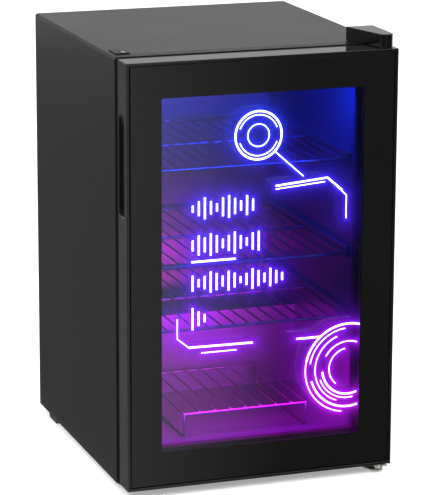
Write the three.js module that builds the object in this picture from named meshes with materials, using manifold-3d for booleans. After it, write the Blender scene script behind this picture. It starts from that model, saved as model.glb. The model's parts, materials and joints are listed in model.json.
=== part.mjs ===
// A counter-height beverage fridge with a glass door whose artwork is lit from the edges of a clear panel.
// Millimetres, +Z up. The origin is on the floor, under the middle of the whole fridge with its door shut.
// The door faces -Y and its hinges are on the +X side.
import * as THREE from "three";
import { mergeVertices } from "three/addons/utils/BufferGeometryUtils.js";
import Module from "manifold-3d";

const wasm = await Module();
wasm.setup();

// Overall sizes
const CABINET_WIDTH = 430;
const CABINET_DEPTH = 430;
const FOOT_HEIGHT = 12;
const DOOR_THICKNESS = 45;
const DOOR_STANDOFF = 9; // from the cabinet's front to the door's back, filled by the gasket
const DOOR_SIDE_REVEAL = 1; // the door is this much narrower than the cabinet on each side
const DOOR_TOP_REVEAL = 0.5;
const DOOR_BOTTOM_REVEAL = 2.5;

// Clearances and stock
const FIT = 0.3; // between two pieces that touch
const RUNNING = 0.3; // round a pin or stem that turns
const STEEL_SHEET = 1.2;
const LINER_WALL = 2;
const MOULDED_WALL = 2.5;
const THROUGH = 1; // how far a cutting solid runs past the face it cuts

// Insulated walls, from the outside to the inside of the liner
const SIDE_WALL = 45;
const TOP_WALL = 45;
const FLOOR_WALL = 55;
const REAR_WALL = 45;
const SHELL_CORNER = 4;
const LINER_LIP = 11.7; // round the liner's mouth; the steel beside it is what the gasket seals on
const TRIM_DEPTH = 20;
const TRIM_HEIGHT = 12;

// Compressor bay, at the bottom of the back. Its height is what stands in it.
const BAY_DEPTH = 140;
const BAY_INSULATION = 33;
const RAIL_THICKNESS = 2;
const GROMMET_HEIGHT = 10;
const SADDLE_THICKNESS = 3;
const POD_SINK = 1; // how far the pod's foot is welded into its saddle
const POD_HEIGHT = 110;
const TRAY_HEIGHT = 15.9;
const TRAY_HEADROOM = 8;

// Shelves. The cabinet's height is the spaces between them and the two walls.
const BOTTOM_SPACE = 174; // from the cabin's floor to the lower shelf
const LOWER_SPACE = 100;
const MIDDLE_SPACE = 149;
const TOP_SPACE = 134; // from the upper shelf to the cabin's roof
const SHELF_SETBACK = 11.5; // from the cabinet's front to the shelf's front edge
const SHELF_REAR_GAP = 7;
const FRAME_WIRE = 2.5; // radii of the wires
const DECK_WIRE = 1.5;
const DECK_PITCH = 22;
const WELD_SINK = 0.8; // how far a deck wire is welded into the wire it crosses
const LEDGE_REACH = 8;
const LEDGE_THICKNESS = 6;
const LEDGE_SIDE_GAP = 1.5;
const LEDGE_SETBACK = 8; // from the shelf's front edge to the ledge's
const LEDGE_HEADROOM = 1; // between the shelf's frame and the ledge over it

// Bottom rack
const RACK_WIDTH = 204;
const RACK_HEIGHT = 39;
const RACK_SETBACK = 23;
const RACK_WIRE = 2;
const RACK_PITCH = 25;

// Door
const DOOR_LIP = 4.5;
const FRONT_GLASS = 4;
const GLASS_RECESS = 0.5;
const WINDOW_MARGIN_SIDE = 54; // from the door's edge to the clear window
const WINDOW_MARGIN_TOP = 54.5;
const WINDOW_MARGIN_BOTTOM = 56;
const GLAZING_OVERLAP = 15.5; // how far the inner panes run past the window
const LIGHT_PANEL = 3;
const INNER_GLASS = 4;
const SPACER_WIDTH = 10;
const LED_STRIP_HEIGHT = 5.4;
const BACK_FRAME_RIM = 3.7;
const GLAZING_STOP = 10.7; // from the back frame's rim forward to the inner pane
const GASKET_WIDTH = 14;
const GASKET_INSET = 17;

// Finger grip in the door's left side
const GRIP_BOTTOM = 436;
const GRIP_LENGTH = 151;
const GRIP_FRONT = 12; // from the door's front to the grip's front edge
const GRIP_BACK = 7; // from the grip's back edge to the door's back
const GRIP_DEPTH = 18;
const SLOT_WIDTH = 11;
const SLOT_END_BOTTOM = 4;
const SLOT_END_TOP = 11;
const DISH_DEPTH = 2.7;
const GRIP_WALL = 1.5;
const GRIP_UNDERCUT = 7;

// Hinges
const PIN_INSET_X = 19; // from the cabinet's side to the pin's axis
const PIN_INSET_Y = 13; // from the door's front to the pin's axis
const PIN_RADIUS = 4;
const PIN_REACH = 15;
const BUSH_WALL = 1.7;
const BUSH_LENGTH = 16;
const BOSS_WALL = 1.7;
const HINGE_PLATE = 2.5;
const DOOR_SWING_GAP = 0.3; // between the door's underside and the lower pin's collar
const COVER_HEIGHT = 21;
const COVER_WALL = 1.8;
const COVER_NOSE = 9.5;
const COVER_BACK = 36; // how far the cover reaches back from the cabinet's front
const COVER_WIDTH = 44;
const COVER_SPREAD = 3; // flat front between the two rounds of the cover's nose
const TOP_PLATE_NOSE = 7;
const TOP_PLATE_REACH = 25; // from the pin's axis to the plate's left edge
const BRACKET_REACH = 26;
const BRACKET_LENGTH = 50; // of the flange under the cabinet
const BRACKET_DROP = 7; // from the cabinet's underside to the top of the tongue under the door
const COLLAR_WALL = 2.5; // round the lower pin, under the door

const SIDES = 24; // sides of a round piece
const SMALL_SIDES = 12;
const WIRE_SIDES = 6;

// Places worked out from the sizes above
const HALF_WIDTH = CABINET_WIDTH / 2;
const BACK_Y = (CABINET_DEPTH + DOOR_STANDOFF + DOOR_THICKNESS) / 2;
const FRONT_Y = BACK_Y - CABINET_DEPTH;
const DOOR_BACK_Y = FRONT_Y - DOOR_STANDOFF;
const DOOR_FRONT_Y = DOOR_BACK_Y - DOOR_THICKNESS;
const BASE_Z = FOOT_HEIGHT;
const CABIN_HALF = HALF_WIDTH - SIDE_WALL;
const CABIN_FLOOR_Z = BASE_Z + FLOOR_WALL;
const SHELF_HEIGHTS = {
  shelf_lower: CABIN_FLOOR_Z + BOTTOM_SPACE,
  shelf_middle: CABIN_FLOOR_Z + BOTTOM_SPACE + LOWER_SPACE,
  shelf_upper: CABIN_FLOOR_Z + BOTTOM_SPACE + LOWER_SPACE + MIDDLE_SPACE,
};
const CABIN_TOP_Z = SHELF_HEIGHTS.shelf_upper + TOP_SPACE;
const TOP_Z = CABIN_TOP_Z + TOP_WALL;
const CABIN_BACK_Y = BACK_Y - REAR_WALL;
const BAY_FRONT_Y = BACK_Y - BAY_DEPTH;
const RAIL_TOP_Z = BASE_Z + RAIL_THICKNESS;
const SADDLE_Z = RAIL_TOP_Z + FIT + GROMMET_HEIGHT + FIT;
const POD_Z = SADDLE_Z + SADDLE_THICKNESS - POD_SINK;
const TRAY_Z = POD_Z + POD_HEIGHT + FIT;
const BAY_TOP_Z = TRAY_Z + TRAY_HEIGHT + TRAY_HEADROOM + STEEL_SHEET;
const STEP_FRONT_Y = BAY_FRONT_Y - BAY_INSULATION - LINER_WALL;
const STEP_TOP_Z = BAY_TOP_Z + BAY_INSULATION + LINER_WALL;
const DOOR_HALF = HALF_WIDTH - DOOR_SIDE_REVEAL;
const DOOR_BOTTOM_Z = BASE_Z + DOOR_BOTTOM_REVEAL;
const DOOR_TOP_Z = TOP_Z - DOOR_TOP_REVEAL;
const PIN_X = HALF_WIDTH - PIN_INSET_X;
const PIN_Y = DOOR_FRONT_Y + PIN_INSET_Y;
const BUSH_RADIUS = PIN_RADIUS + RUNNING + BUSH_WALL;

// ---- Ways of making a solid ----

// A closed three.js geometry as a solid that can be joined and cut.
function solid(geometry) {
  const bare = geometry.clone();
  bare.deleteAttribute("normal");
  bare.deleteAttribute("uv");
  const merged = mergeVertices(bare, 1e-3);
  return new wasm.Manifold(
    new wasm.Mesh({
      numProp: 3,
      vertProperties: merged.attributes.position.array,
      triVerts: new Uint32Array(merged.index.array),
    }),
  );
}

// A solid back as a three.js geometry.
function geometryOf(made) {
  const mesh = made.getMesh();
  const geometry = new THREE.BufferGeometry();
  geometry.setAttribute("position", new THREE.BufferAttribute(mesh.vertProperties, 3));
  geometry.setIndex(new THREE.BufferAttribute(mesh.triVerts, 1));
  geometry.computeVertexNormals();
  return geometry;
}

// A box between two values on each axis.
function block([x0, x1], [y0, y1], [z0, z1]) {
  const box = new THREE.BoxGeometry(x1 - x0, y1 - y0, z1 - z0);
  return solid(box.translate((x0 + x1) / 2, (y0 + y1) / 2, (z0 + z1) / 2));
}

// A round bar between two points.
function rod(radius, from, to, sides = SMALL_SIDES) {
  const start = new THREE.Vector3(...from);
  const way = new THREE.Vector3(...to).sub(start);
  const bar = new THREE.CylinderGeometry(radius, radius, way.length(), sides);
  bar.applyQuaternion(
    new THREE.Quaternion().setFromUnitVectors(new THREE.Vector3(0, 1, 0), way.clone().normalize()),
  );
  return solid(bar.translate(...start.addScaledVector(way, 0.5)));
}

// A shape drawn across one axis and drawn out along it: X takes (y, z), Y takes (x, z) and Z takes (x, y).
function prism(axis, shape, low, high, curveSegments = 4) {
  const drawn = new THREE.ExtrudeGeometry(shape, { depth: high - low, bevelEnabled: false, curveSegments });
  const [x, y, z] = [[1, 0, 0], [0, 1, 0], [0, 0, 1]].map((v) => new THREE.Vector3(...v));
  const turn = new THREE.Matrix4();
  if (axis === "X") {
    turn.makeBasis(y, z, x).setPosition(low, 0, 0);
  } else if (axis === "Y") {
    turn.makeBasis(x, z, y.clone().negate()).setPosition(0, high, 0);
  } else {
    turn.setPosition(0, 0, low);
  }
  return solid(drawn.applyMatrix4(turn));
}

// A closed outline through points.
function outline(points) {
  return new THREE.Shape(points.map(([a, b]) => new THREE.Vector2(a, b)));
}

// A rectangle with rounded corners. The four radii start at the corner that is low both ways and run
// anticlockwise.
function roundedRectangle([a0, a1], [b0, b1], radii, cuts = 4) {
  const corners = [[a0, b0, 1, 1], [a1, b0, -1, 1], [a1, b1, -1, -1], [a0, b1, 1, -1]];
  return outline(
    corners.flatMap(([a, b, inA, inB], i) => {
      if (!radii[i]) return [[a, b]];
      return Array.from({ length: cuts + 1 }, (_, k) => {
        const angle = Math.PI + (i + k / cuts) * (Math.PI / 2);
        return [a + radii[i] * (inA + Math.cos(angle)), b + radii[i] * (inB + Math.sin(angle))];
      });
    }),
  );
}

// A plate seen from above: square at the back, with its right side straight and its left side slanting
// in to a round nose about the pin. A spread nose has a flat front between its two rounds.
function nosePlate(leftX, backY, radius, spread = 0, cuts = 6) {
  const toCorner = new THREE.Vector2(leftX - PIN_X, backY - PIN_Y);
  const tangent = toCorner.angle() + Math.acos(radius / toCorner.length());
  const front = 1.5 * Math.PI;
  const round = (x, from, to) =>
    Array.from({ length: cuts + 1 }, (_, k) => {
      const angle = from + (k / cuts) * (to - from);
      return [x + radius * Math.cos(angle), PIN_Y + radius * Math.sin(angle)];
    });
  const leftRound = round(PIN_X, tangent, front);
  const rightRound = round(PIN_X + spread, front, 2 * Math.PI).slice(spread > 0 ? 0 : 1);
  return outline([[leftX, backY], ...leftRound, ...rightRound, [PIN_X + spread + radius, backY]]);
}

// A rectangular ring across the Y axis, between its outer and its inner rectangle.
function ring([x0, x1], [z0, z1], [y0, y1], inner) {
  return block([x0, x1], [y0, y1], [z0, z1]).subtract(
    block(inner[0], [y0 - THROUGH, y1 + THROUGH], inner[1]),
  );
}

// A span with both ends moved in by the same amount.
function inset([low, high], amount) {
  return [low + amount, high - amount];
}

// A course that runs straight from point to point, so a wire along it has a ring of corners only where
// it bends.
class Course extends THREE.Curve {
  constructor(points) {
    super();
    this.points = points;
  }
  getPoint(t) {
    const last = this.points.length - 1;
    const i = Math.min(Math.floor(t * last), last - 1);
    return this.points[i].clone().lerp(this.points[i + 1], t * last - i);
  }
  getUtoTmapping(u) {
    return u;
  }
}

// A wire or tube along a route whose corners are bent to a radius.
function wire(radius, route, bend, sides = WIRE_SIDES, cuts = 3) {
  const corners = route.map((point) => new THREE.Vector3(...point));
  const points = [corners[0]];
  for (let i = 1; i < corners.length - 1; i++) {
    const back = corners[i - 1].clone().sub(corners[i]).normalize();
    const on = corners[i + 1].clone().sub(corners[i]).normalize();
    const reach = bend / Math.tan(back.angleTo(on) / 2);
    const arc = new THREE.QuadraticBezierCurve3(
      corners[i].clone().addScaledVector(back, reach),
      corners[i],
      corners[i].clone().addScaledVector(on, reach),
    );
    points.push(...arc.getPoints(cuts));
  }
  points.push(corners.at(-1));
  const section = outline(
    Array.from({ length: sides }, (_, k) => {
      const angle = (k / sides) * 2 * Math.PI;
      return [radius * Math.cos(angle), radius * Math.sin(angle)];
    }),
  );
  return solid(
    new THREE.ExtrudeGeometry(section, { steps: points.length - 1, extrudePath: new Course(points) }),
  );
}

// A solid turned from a profile of radii and heights, about an upright axis.
function turned(profile, x, y, sides = SIDES) {
  const lathe = new THREE.LatheGeometry(
    profile.map(([radius, z]) => new THREE.Vector2(radius, z)),
    sides,
  );
  return solid(lathe.rotateX(Math.PI / 2).translate(x, y, 0));
}

function joined(solids) {
  return solids.reduce((all, next) => all.add(next));
}

function cut(body, solids) {
  return solids.reduce((left, next) => left.subtract(next), body);
}

const fridge = new THREE.Group();

// Puts a named piece in a group, at a place of its own where it was drawn about its own origin.
function piece(group, name, made, [color, roughness, metalness], place = [0, 0, 0], turn = [0, 0, 0]) {
  const material = new THREE.MeshStandardMaterial({ color, roughness, metalness });
  const mesh = new THREE.Mesh(geometryOf(made), material);
  mesh.name = name;
  mesh.position.set(...place);
  mesh.rotation.set(...turn);
  group.add(mesh);
}

// Finishes: colour, roughness, metalness
const BLACK_STEEL = [0x1b1b1d, 0.45, 0.3];
const BLACK_ABS = [0x161617, 0.4, 0];
const BLACK_LINER = [0x0d0d10, 0.35, 0];
const ZINC = [0x9a9c96, 0.4, 0.9];
const BLACK_WIRE = [0x202022, 0.35, 0.2];
const COPPER = [0xb8734a, 0.35, 1];
const CLEAR_GLASS = [0x9fb4b8, 0.05, 0];
const BLACK_RUBBER = [0x141414, 0.8, 0];
const WHITE_NYLON = [0xe6e4dc, 0.5, 0];
const COMPRESSOR_PAINT = [0x0c0c0c, 0.5, 0.2];
const FOAM = [0xd8c48a, 0.9, 0];
const ALUMINIUM = [0xc9ccd0, 0.4, 1];
const OPAL_PLASTIC = [0xe9eef2, 0.3, 0];
const WHITE_BOARD = [0xf2f2ee, 0.5, 0];
const RED_PLASTIC = [0x8d1a14, 0.4, 0];

// ---- Cabinet ----

const cabinet = new THREE.Group();
fridge.add(cabinet);

const SHELL_INNER = inset([-HALF_WIDTH, HALF_WIDTH], STEEL_SHEET);
const LINER_FLANGE_X = [-CABIN_HALF - LINER_LIP, CABIN_HALF + LINER_LIP];
const LINER_FLANGE_Z = [CABIN_FLOOR_Z - LINER_LIP, CABIN_TOP_Z + LINER_LIP];
const STUD_X = HALF_WIDTH - 25;
const STUD_Y = FRONT_Y + 30;
const STUD_RADIUS = 4;
const STUD_HOLE = STUD_RADIUS + 0.5;
const STUD_TOP_Z = BASE_Z + 22;
const SCREW_SHANK = 2;
const SCREW_HEAD = 3.8;
const SCREW_HEAD_HEIGHT = 2;
const SCREW_LENGTH = 10;
const SCREW_HOLE = SCREW_SHANK + FIT;
const HOLE_SPARE = 3; // past the end of a screw or stud
const HINGE_SCREWS = [[PIN_X - 19, FRONT_Y + 27], [PIN_X + 2, FRONT_Y + 27]];
const BRACKET_SCREWS = [[PIN_X - 17, FRONT_Y + 10], [PIN_X - 17, FRONT_Y + 42]];
const PLUG_X = [-HALF_WIDTH + 9, -HALF_WIDTH + 32];
const PLUG_Y = [FRONT_Y + TRIM_DEPTH + 2, FRONT_Y + TRIM_DEPTH + 40];
const PLUG_THICKNESS = 1.6;
const PLUG_SCREW = [PLUG_X[0] + 12.5, PLUG_Y[0] + 6];
const TUBE_RADIUS = 3;
const TUBE_HOLE = TUBE_RADIUS + 1;
const DISCHARGE_TOP = [-150, BAY_FRONT_Y + 96];
const SUCTION_TOP = [-172, BAY_FRONT_Y + 70];
const CAPILLARY_TOP = [150, BAY_FRONT_Y + 40];
const DRYER_TOP = [110, BAY_FRONT_Y + 98];
const TUBE_TOP_Z = BAY_TOP_Z + 16;
const COMPRESSOR_X = -40;
const COMPRESSOR_Y = BAY_FRONT_Y + 68;
const DRAIN_Y = BAY_FRONT_Y + 48;
const DRAIN_RADIUS = 6;

// A round hole straight up and down.
function hole([x, y], radius, [z0, z1], sides = SMALL_SIDES) {
  return rod(radius, [x, y, z0], [x, y, z1], sides);
}

const topHoles = [...HINGE_SCREWS, PLUG_SCREW].map((at) =>
  hole(at, SCREW_HOLE, [TOP_Z - SCREW_LENGTH - HOLE_SPARE, TOP_Z + THROUGH]),
);
const baseHoles = BRACKET_SCREWS.map((at) =>
  hole(at, SCREW_HOLE, [BASE_Z - THROUGH, BASE_Z + SCREW_LENGTH + HOLE_SPARE]),
);
const studHoles = [-STUD_X, STUD_X].map((x) =>
  hole([x, STUD_Y], STUD_HOLE, [BASE_Z - THROUGH, STUD_TOP_Z + HOLE_SPARE]),
);
const tubeHoles = [DISCHARGE_TOP, SUCTION_TOP, CAPILLARY_TOP, DRYER_TOP].map((at) =>
  hole(at, TUBE_HOLE, [BAY_TOP_Z - STEEL_SHEET - THROUGH, TUBE_TOP_Z + 2]),
);
const drainHole = hole(
  [COMPRESSOR_X, DRAIN_Y],
  DRAIN_RADIUS + FIT,
  [BAY_TOP_Z - STEEL_SHEET - THROUGH, STEP_TOP_Z + THROUGH],
);
const trimSpanX = inset([-HALF_WIDTH, HALF_WIDTH], SHELL_CORNER);
const trimNotch = block(
  trimSpanX,
  [FRONT_Y - THROUGH, FRONT_Y + TRIM_DEPTH],
  [TOP_Z - TRIM_HEIGHT, TOP_Z + THROUGH],
);

// Steel wrap: both sides and the top in one bent sheet, turned in at the front for the gasket to seal on.
function outerShell() {
  const outside = roundedRectangle(
    [-HALF_WIDTH, HALF_WIDTH],
    [BASE_Z, TOP_Z],
    [0, 0, SHELL_CORNER, SHELL_CORNER],
  );
  const bend = SHELL_CORNER - STEEL_SHEET;
  const inside = roundedRectangle(
    SHELL_INNER,
    [BASE_Z - THROUGH, TOP_Z - STEEL_SHEET],
    [0, 0, bend, bend],
  );
  const frontOpening = block(
    inset(LINER_FLANGE_X, -FIT),
    [FRONT_Y - THROUGH, FRONT_Y + STEEL_SHEET + THROUGH],
    [BASE_Z - THROUGH, LINER_FLANGE_Z[1] + FIT],
  );
  return cut(prism("Y", outside, FRONT_Y, BACK_Y), [
    prism("Y", inside, FRONT_Y + STEEL_SHEET, BACK_Y + THROUGH),
    frontOpening,
    trimNotch,
    ...topHoles,
  ]);
}
piece(cabinet, "outer_shell", outerShell(), BLACK_STEEL);

// Plastic strip let into the front edge of the top.
const trim = block(
  inset(trimSpanX, FIT),
  [FRONT_Y, FRONT_Y + TRIM_DEPTH - FIT],
  [TOP_Z - TRIM_HEIGHT + FIT, TOP_Z],
);
piece(cabinet, "front_trim", trim, BLACK_ABS);

// Bent sheet that closes the bottom: front upturn, floor, riser and roof of the compressor bay.
function basePanel() {
  const sheet = STEEL_SHEET;
  const side = outline([
    [FRONT_Y, BASE_Z],
    [BAY_FRONT_Y, BASE_Z],
    [BAY_FRONT_Y, BAY_TOP_Z - sheet],
    [BACK_Y - sheet - FIT, BAY_TOP_Z - sheet],
    [BACK_Y - sheet - FIT, BAY_TOP_Z],
    [BAY_FRONT_Y - sheet, BAY_TOP_Z],
    [BAY_FRONT_Y - sheet, BASE_Z + sheet],
    [FRONT_Y + sheet, BASE_Z + sheet],
    [FRONT_Y + sheet, LINER_FLANGE_Z[0] - FIT],
    [FRONT_Y, LINER_FLANGE_Z[0] - FIT],
  ]);
  const span = inset(SHELL_INNER, FIT);
  const besideFlange = [
    [span[0] - THROUGH, LINER_FLANGE_X[0]],
    [LINER_FLANGE_X[1], span[1] + THROUGH],
  ].map((x) => block(x, [FRONT_Y - THROUGH, FRONT_Y + sheet + FIT], [BASE_Z - THROUGH, CABIN_FLOOR_Z]));
  return cut(prism("X", side, ...span), [
    ...besideFlange,
    ...baseHoles,
    ...studHoles,
    ...tubeHoles,
    drainHole,
  ]);
}
piece(cabinet, "base_panel", basePanel(), ZINC);

const backPanel = block(
  inset(SHELL_INNER, FIT),
  [BACK_Y - STEEL_SHEET, BACK_Y],
  [BAY_TOP_Z + FIT, TOP_Z - STEEL_SHEET - SHELL_CORNER],
);
piece(cabinet, "back_panel", backPanel, BLACK_STEEL);

// The space inside the liner, with the step over the compressor bay, grown on every side but the front.
function cabinSpace(grow) {
  const side = outline([
    [FRONT_Y - THROUGH, CABIN_FLOOR_Z - grow],
    [STEP_FRONT_Y + grow, CABIN_FLOOR_Z - grow],
    [STEP_FRONT_Y + grow, STEP_TOP_Z - grow],
    [CABIN_BACK_Y + grow, STEP_TOP_Z - grow],
    [CABIN_BACK_Y + grow, CABIN_TOP_Z + grow],
    [FRONT_Y - THROUGH, CABIN_TOP_Z + grow],
  ]);
  return prism("X", side, -CABIN_HALF - grow, CABIN_HALF + grow);
}

// Moulded tub with a lip round its mouth and a ledge under and over each side of every shelf.
function innerLiner() {
  const lip = block(LINER_FLANGE_X, [FRONT_Y, FRONT_Y + LINER_WALL], LINER_FLANGE_Z);
  const wall = cabinSpace(LINER_WALL).intersect(
    block(LINER_FLANGE_X, [FRONT_Y, BACK_Y], LINER_FLANGE_Z),
  );
  const inWall = CABIN_HALF + LINER_WALL / 2;
  const ledgeSides = [
    [-inWall, LEDGE_REACH - CABIN_HALF],
    [CABIN_HALF - LEDGE_REACH, inWall],
  ];
  const ledgeY = [FRONT_Y + SHELF_SETBACK + LEDGE_SETBACK, CABIN_BACK_Y + LINER_WALL / 2];
  const ledges = Object.values(SHELF_HEIGHTS).flatMap((z) => {
    const under = z - FRAME_WIRE - FIT;
    const over = z + FRAME_WIRE + LEDGE_HEADROOM;
    return ledgeSides.flatMap((x) => [
      block(x, ledgeY, [under - LEDGE_THICKNESS, under]),
      block(x, ledgeY, [over, over + LEDGE_THICKNESS]),
    ]);
  });
  return cut(joined([wall.add(lip).subtract(cabinSpace(0)), ...ledges]), [drainHole]);
}
piece(cabinet, "inner_liner", innerLiner(), BLACK_LINER);

// Foam that fills the walls, with room for the coils and tubes that are foamed in.
const EVAPORATOR_X = inset([-CABIN_HALF, CABIN_HALF], 20);
const EVAPORATOR_Z = [STEP_TOP_Z + 103, CABIN_TOP_Z - 34];
const EVAPORATOR_PLATE = 1.5;
const EVAPORATOR_CHANNEL = 1.5;
const CONDENSER_Y = [FRONT_Y + 40, BACK_Y - 40];
const CONDENSER_Z = [BAY_TOP_Z + 38, TOP_Z - 69];
const CONDENSER_PASSES = 9;
const CONDENSER_TUBE = 2.2;
const CONDENSER_X = -HALF_WIDTH + STEEL_SHEET + FIT + CONDENSER_TUBE + FIT;

function foam() {
  const gap = STEEL_SHEET + FIT;
  const corner = SHELL_CORNER - gap;
  const section = roundedRectangle(
    inset([-HALF_WIDTH, HALF_WIDTH], gap),
    inset([BASE_Z, TOP_Z], gap),
    [0, 0, corner, corner],
  );
  const body = prism("Y", section, FRONT_Y + LINER_WALL + FIT, BACK_Y - gap);
  const bay = block(
    [-CABINET_WIDTH, CABINET_WIDTH],
    [BAY_FRONT_Y - gap, BACK_Y + THROUGH],
    [BASE_Z - THROUGH, BAY_TOP_Z + FIT],
  );
  const behindTrim = block(
    trimSpanX,
    [FRONT_Y, FRONT_Y + TRIM_DEPTH + FIT],
    [TOP_Z - TRIM_HEIGHT, TOP_Z + THROUGH],
  );
  const evaporatorPocket = block(
    inset(EVAPORATOR_X, -FIT),
    [CABIN_BACK_Y, CABIN_BACK_Y + LINER_WALL + EVAPORATOR_PLATE + EVAPORATOR_CHANNEL + 3 * FIT],
    inset(EVAPORATOR_Z, -FIT),
  );
  const margin = CONDENSER_TUBE + 3 * FIT;
  const condenserPocket = block(
    [-CABINET_WIDTH, CONDENSER_X + margin],
    [CONDENSER_Y[0] - 30, CONDENSER_Y[1] + 30],
    inset(CONDENSER_Z, -margin),
  );
  return cut(body, [
    cabinSpace(LINER_WALL + FIT),
    bay,
    behindTrim,
    evaporatorPocket,
    condenserPocket,
    ...topHoles,
    ...baseHoles,
    ...studHoles,
    ...tubeHoles,
    drainHole,
  ]);
}
piece(cabinet, "foam_insulation", foam(), FOAM);

// Aluminium plate on the back of the liner, with raised channels for the refrigerant.
function evaporator() {
  const front = CABIN_BACK_Y + LINER_WALL + FIT;
  const plate = block(EVAPORATOR_X, [front, front + EVAPORATOR_PLATE], EVAPORATOR_Z);
  const rows = 7;
  const pitch = (EVAPORATOR_Z[1] - EVAPORATOR_Z[0]) / rows;
  const channels = Array.from({ length: rows }, (_, k) => {
    const z = EVAPORATOR_Z[0] + (k + 0.5) * pitch;
    const back = front + EVAPORATOR_PLATE;
    return block(inset(EVAPORATOR_X, 20), [back - 0.5, back + EVAPORATOR_CHANNEL], [z - 5, z + 5]);
  });
  return joined([plate, ...channels]);
}
piece(cabinet, "evaporator_plate", evaporator(), ALUMINIUM);

// Serpentine of tube that gives its heat to the left side panel.
function condenser() {
  const pitch = (CONDENSER_Z[1] - CONDENSER_Z[0]) / (CONDENSER_PASSES - 1);
  const route = [];
  for (let k = 0; k < CONDENSER_PASSES; k++) {
    const z = CONDENSER_Z[0] + k * pitch;
    const ends = k % 2 ? [1, 0] : [0, 1];
    for (const end of ends) {
      route.push([CONDENSER_X, CONDENSER_Y[end], z]);
    }
  }
  return wire(CONDENSER_TUBE, route, pitch / 2 - 1);
}
piece(cabinet, "condenser_coil", condenser(), COPPER);

// Plug over the screw holes for a hinge on the other side.
const plug = block(PLUG_X, PLUG_Y, [TOP_Z + FIT, TOP_Z + PLUG_THICKNESS]).subtract(
  hole(PLUG_SCREW, SCREW_HOLE, [TOP_Z, TOP_Z + PLUG_THICKNESS + THROUGH]),
);
piece(cabinet, "hinge_blanking_plug", plug, BLACK_ABS);

// A pan-head screw pointing down, with its head's underside at zero.
function screw() {
  const head = SCREW_HEAD_HEIGHT;
  const profile = [
    [0, -SCREW_LENGTH],
    [SCREW_SHANK, 1 - SCREW_LENGTH],
    [SCREW_SHANK, 0],
    [SCREW_HEAD, 0],
    [SCREW_HEAD, head * 0.4],
    [SCREW_HEAD * 0.6, head],
    [0, head],
  ];
  return turned(profile, 0, 0, SMALL_SIDES);
}

const PLATE_TOP_Z = TOP_Z + FIT + HINGE_PLATE;
const BRACKET_FLANGE_Z = [BASE_Z - FIT - HINGE_PLATE, BASE_Z - FIT];
const DOWN = [0, 0, 0];
const UP = [Math.PI, 0, 0];
const screws = {
  blanking_plug_screw: [DOWN, [...PLUG_SCREW, TOP_Z + PLUG_THICKNESS + FIT]],
  top_hinge_screw_1: [DOWN, [...HINGE_SCREWS[0], PLATE_TOP_Z + FIT]],
  top_hinge_screw_2: [DOWN, [...HINGE_SCREWS[1], PLATE_TOP_Z + FIT]],
  lower_hinge_screw_1: [UP, [...BRACKET_SCREWS[0], BRACKET_FLANGE_Z[0] - FIT]],
  lower_hinge_screw_2: [UP, [...BRACKET_SCREWS[1], BRACKET_FLANGE_Z[0] - FIT]],
};
for (const [name, [turn, place]] of Object.entries(screws)) {
  piece(cabinet, name, screw(), ZINC, place, turn);
}

// Steel plate on the cabinet's top, reaching out over the door with a pin pointing down into it.
function topHinge() {
  const back = FRONT_Y + COVER_BACK - COVER_WALL - 2;
  const shape = nosePlate(PIN_X - TOP_PLATE_REACH, back, TOP_PLATE_NOSE);
  const plate = prism("Z", shape, TOP_Z + FIT, PLATE_TOP_Z);
  const pin = rod(PIN_RADIUS, [PIN_X, PIN_Y, DOOR_TOP_Z - PIN_REACH], [PIN_X, PIN_Y, PLATE_TOP_Z - 1]);
  const screwHoles = HINGE_SCREWS.map((at) => hole(at, SCREW_HOLE, [TOP_Z, PLATE_TOP_Z + THROUGH]));
  return cut(plate.add(pin), screwHoles);
}
piece(cabinet, "top_hinge_plate", topHinge(), ZINC);

// Hollow cap over the top hinge.
function hingeCover() {
  const left = PIN_X + COVER_SPREAD + COVER_NOSE - COVER_WIDTH;
  const back = FRONT_Y + COVER_BACK;
  const top = TOP_Z + COVER_HEIGHT;
  const outside = prism("Z", nosePlate(left, back, COVER_NOSE, COVER_SPREAD), TOP_Z + FIT, top);
  const slantingWall = 1.4 * COVER_WALL;
  const innerNose = COVER_NOSE - COVER_WALL;
  const inside = nosePlate(left + slantingWall, back - COVER_WALL, innerNose, COVER_SPREAD);
  return outside.subtract(prism("Z", inside, TOP_Z - THROUGH, top - COVER_WALL));
}
piece(cabinet, "hinge_cover", hingeCover(), BLACK_ABS);

// Steel bracket under the cabinet: flange, drop, and a tongue under the door with the pin that carries it.
function lowerHinge() {
  const tongueTop = BASE_Z - BRACKET_DROP;
  const tongueZ = [tongueTop - HINGE_PLATE, tongueTop];
  const left = PIN_X - BRACKET_REACH;
  const x = [left, PIN_X + COVER_NOSE];
  const tongue = prism("Z", nosePlate(left, FRONT_Y, COVER_NOSE), ...tongueZ);
  const drop = block(x, [FRONT_Y - HINGE_PLATE, FRONT_Y], [tongueZ[0], BRACKET_FLANGE_Z[1]]);
  const flange = block(x, [FRONT_Y - HINGE_PLATE, FRONT_Y + BRACKET_LENGTH], BRACKET_FLANGE_Z);
  const pin = rod(PIN_RADIUS, [PIN_X, PIN_Y, tongueZ[0]], [PIN_X, PIN_Y, DOOR_BOTTOM_Z + PIN_REACH]);
  const collar = rod(
    PIN_RADIUS + COLLAR_WALL,
    [PIN_X, PIN_Y, tongueZ[0] + 1],
    [PIN_X, PIN_Y, DOOR_BOTTOM_Z - DOOR_SWING_GAP],
  );
  return cut(joined([tongue, drop, flange, pin, collar]), [
    ...BRACKET_SCREWS.map((at) => hole(at, SCREW_HOLE, inset(BRACKET_FLANGE_Z, -THROUGH))),
    hole([STUD_X, STUD_Y], STUD_HOLE, inset(BRACKET_FLANGE_Z, -THROUGH)),
  ]);
}
piece(cabinet, "lower_hinge_bracket", lowerHinge(), ZINC);

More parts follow.
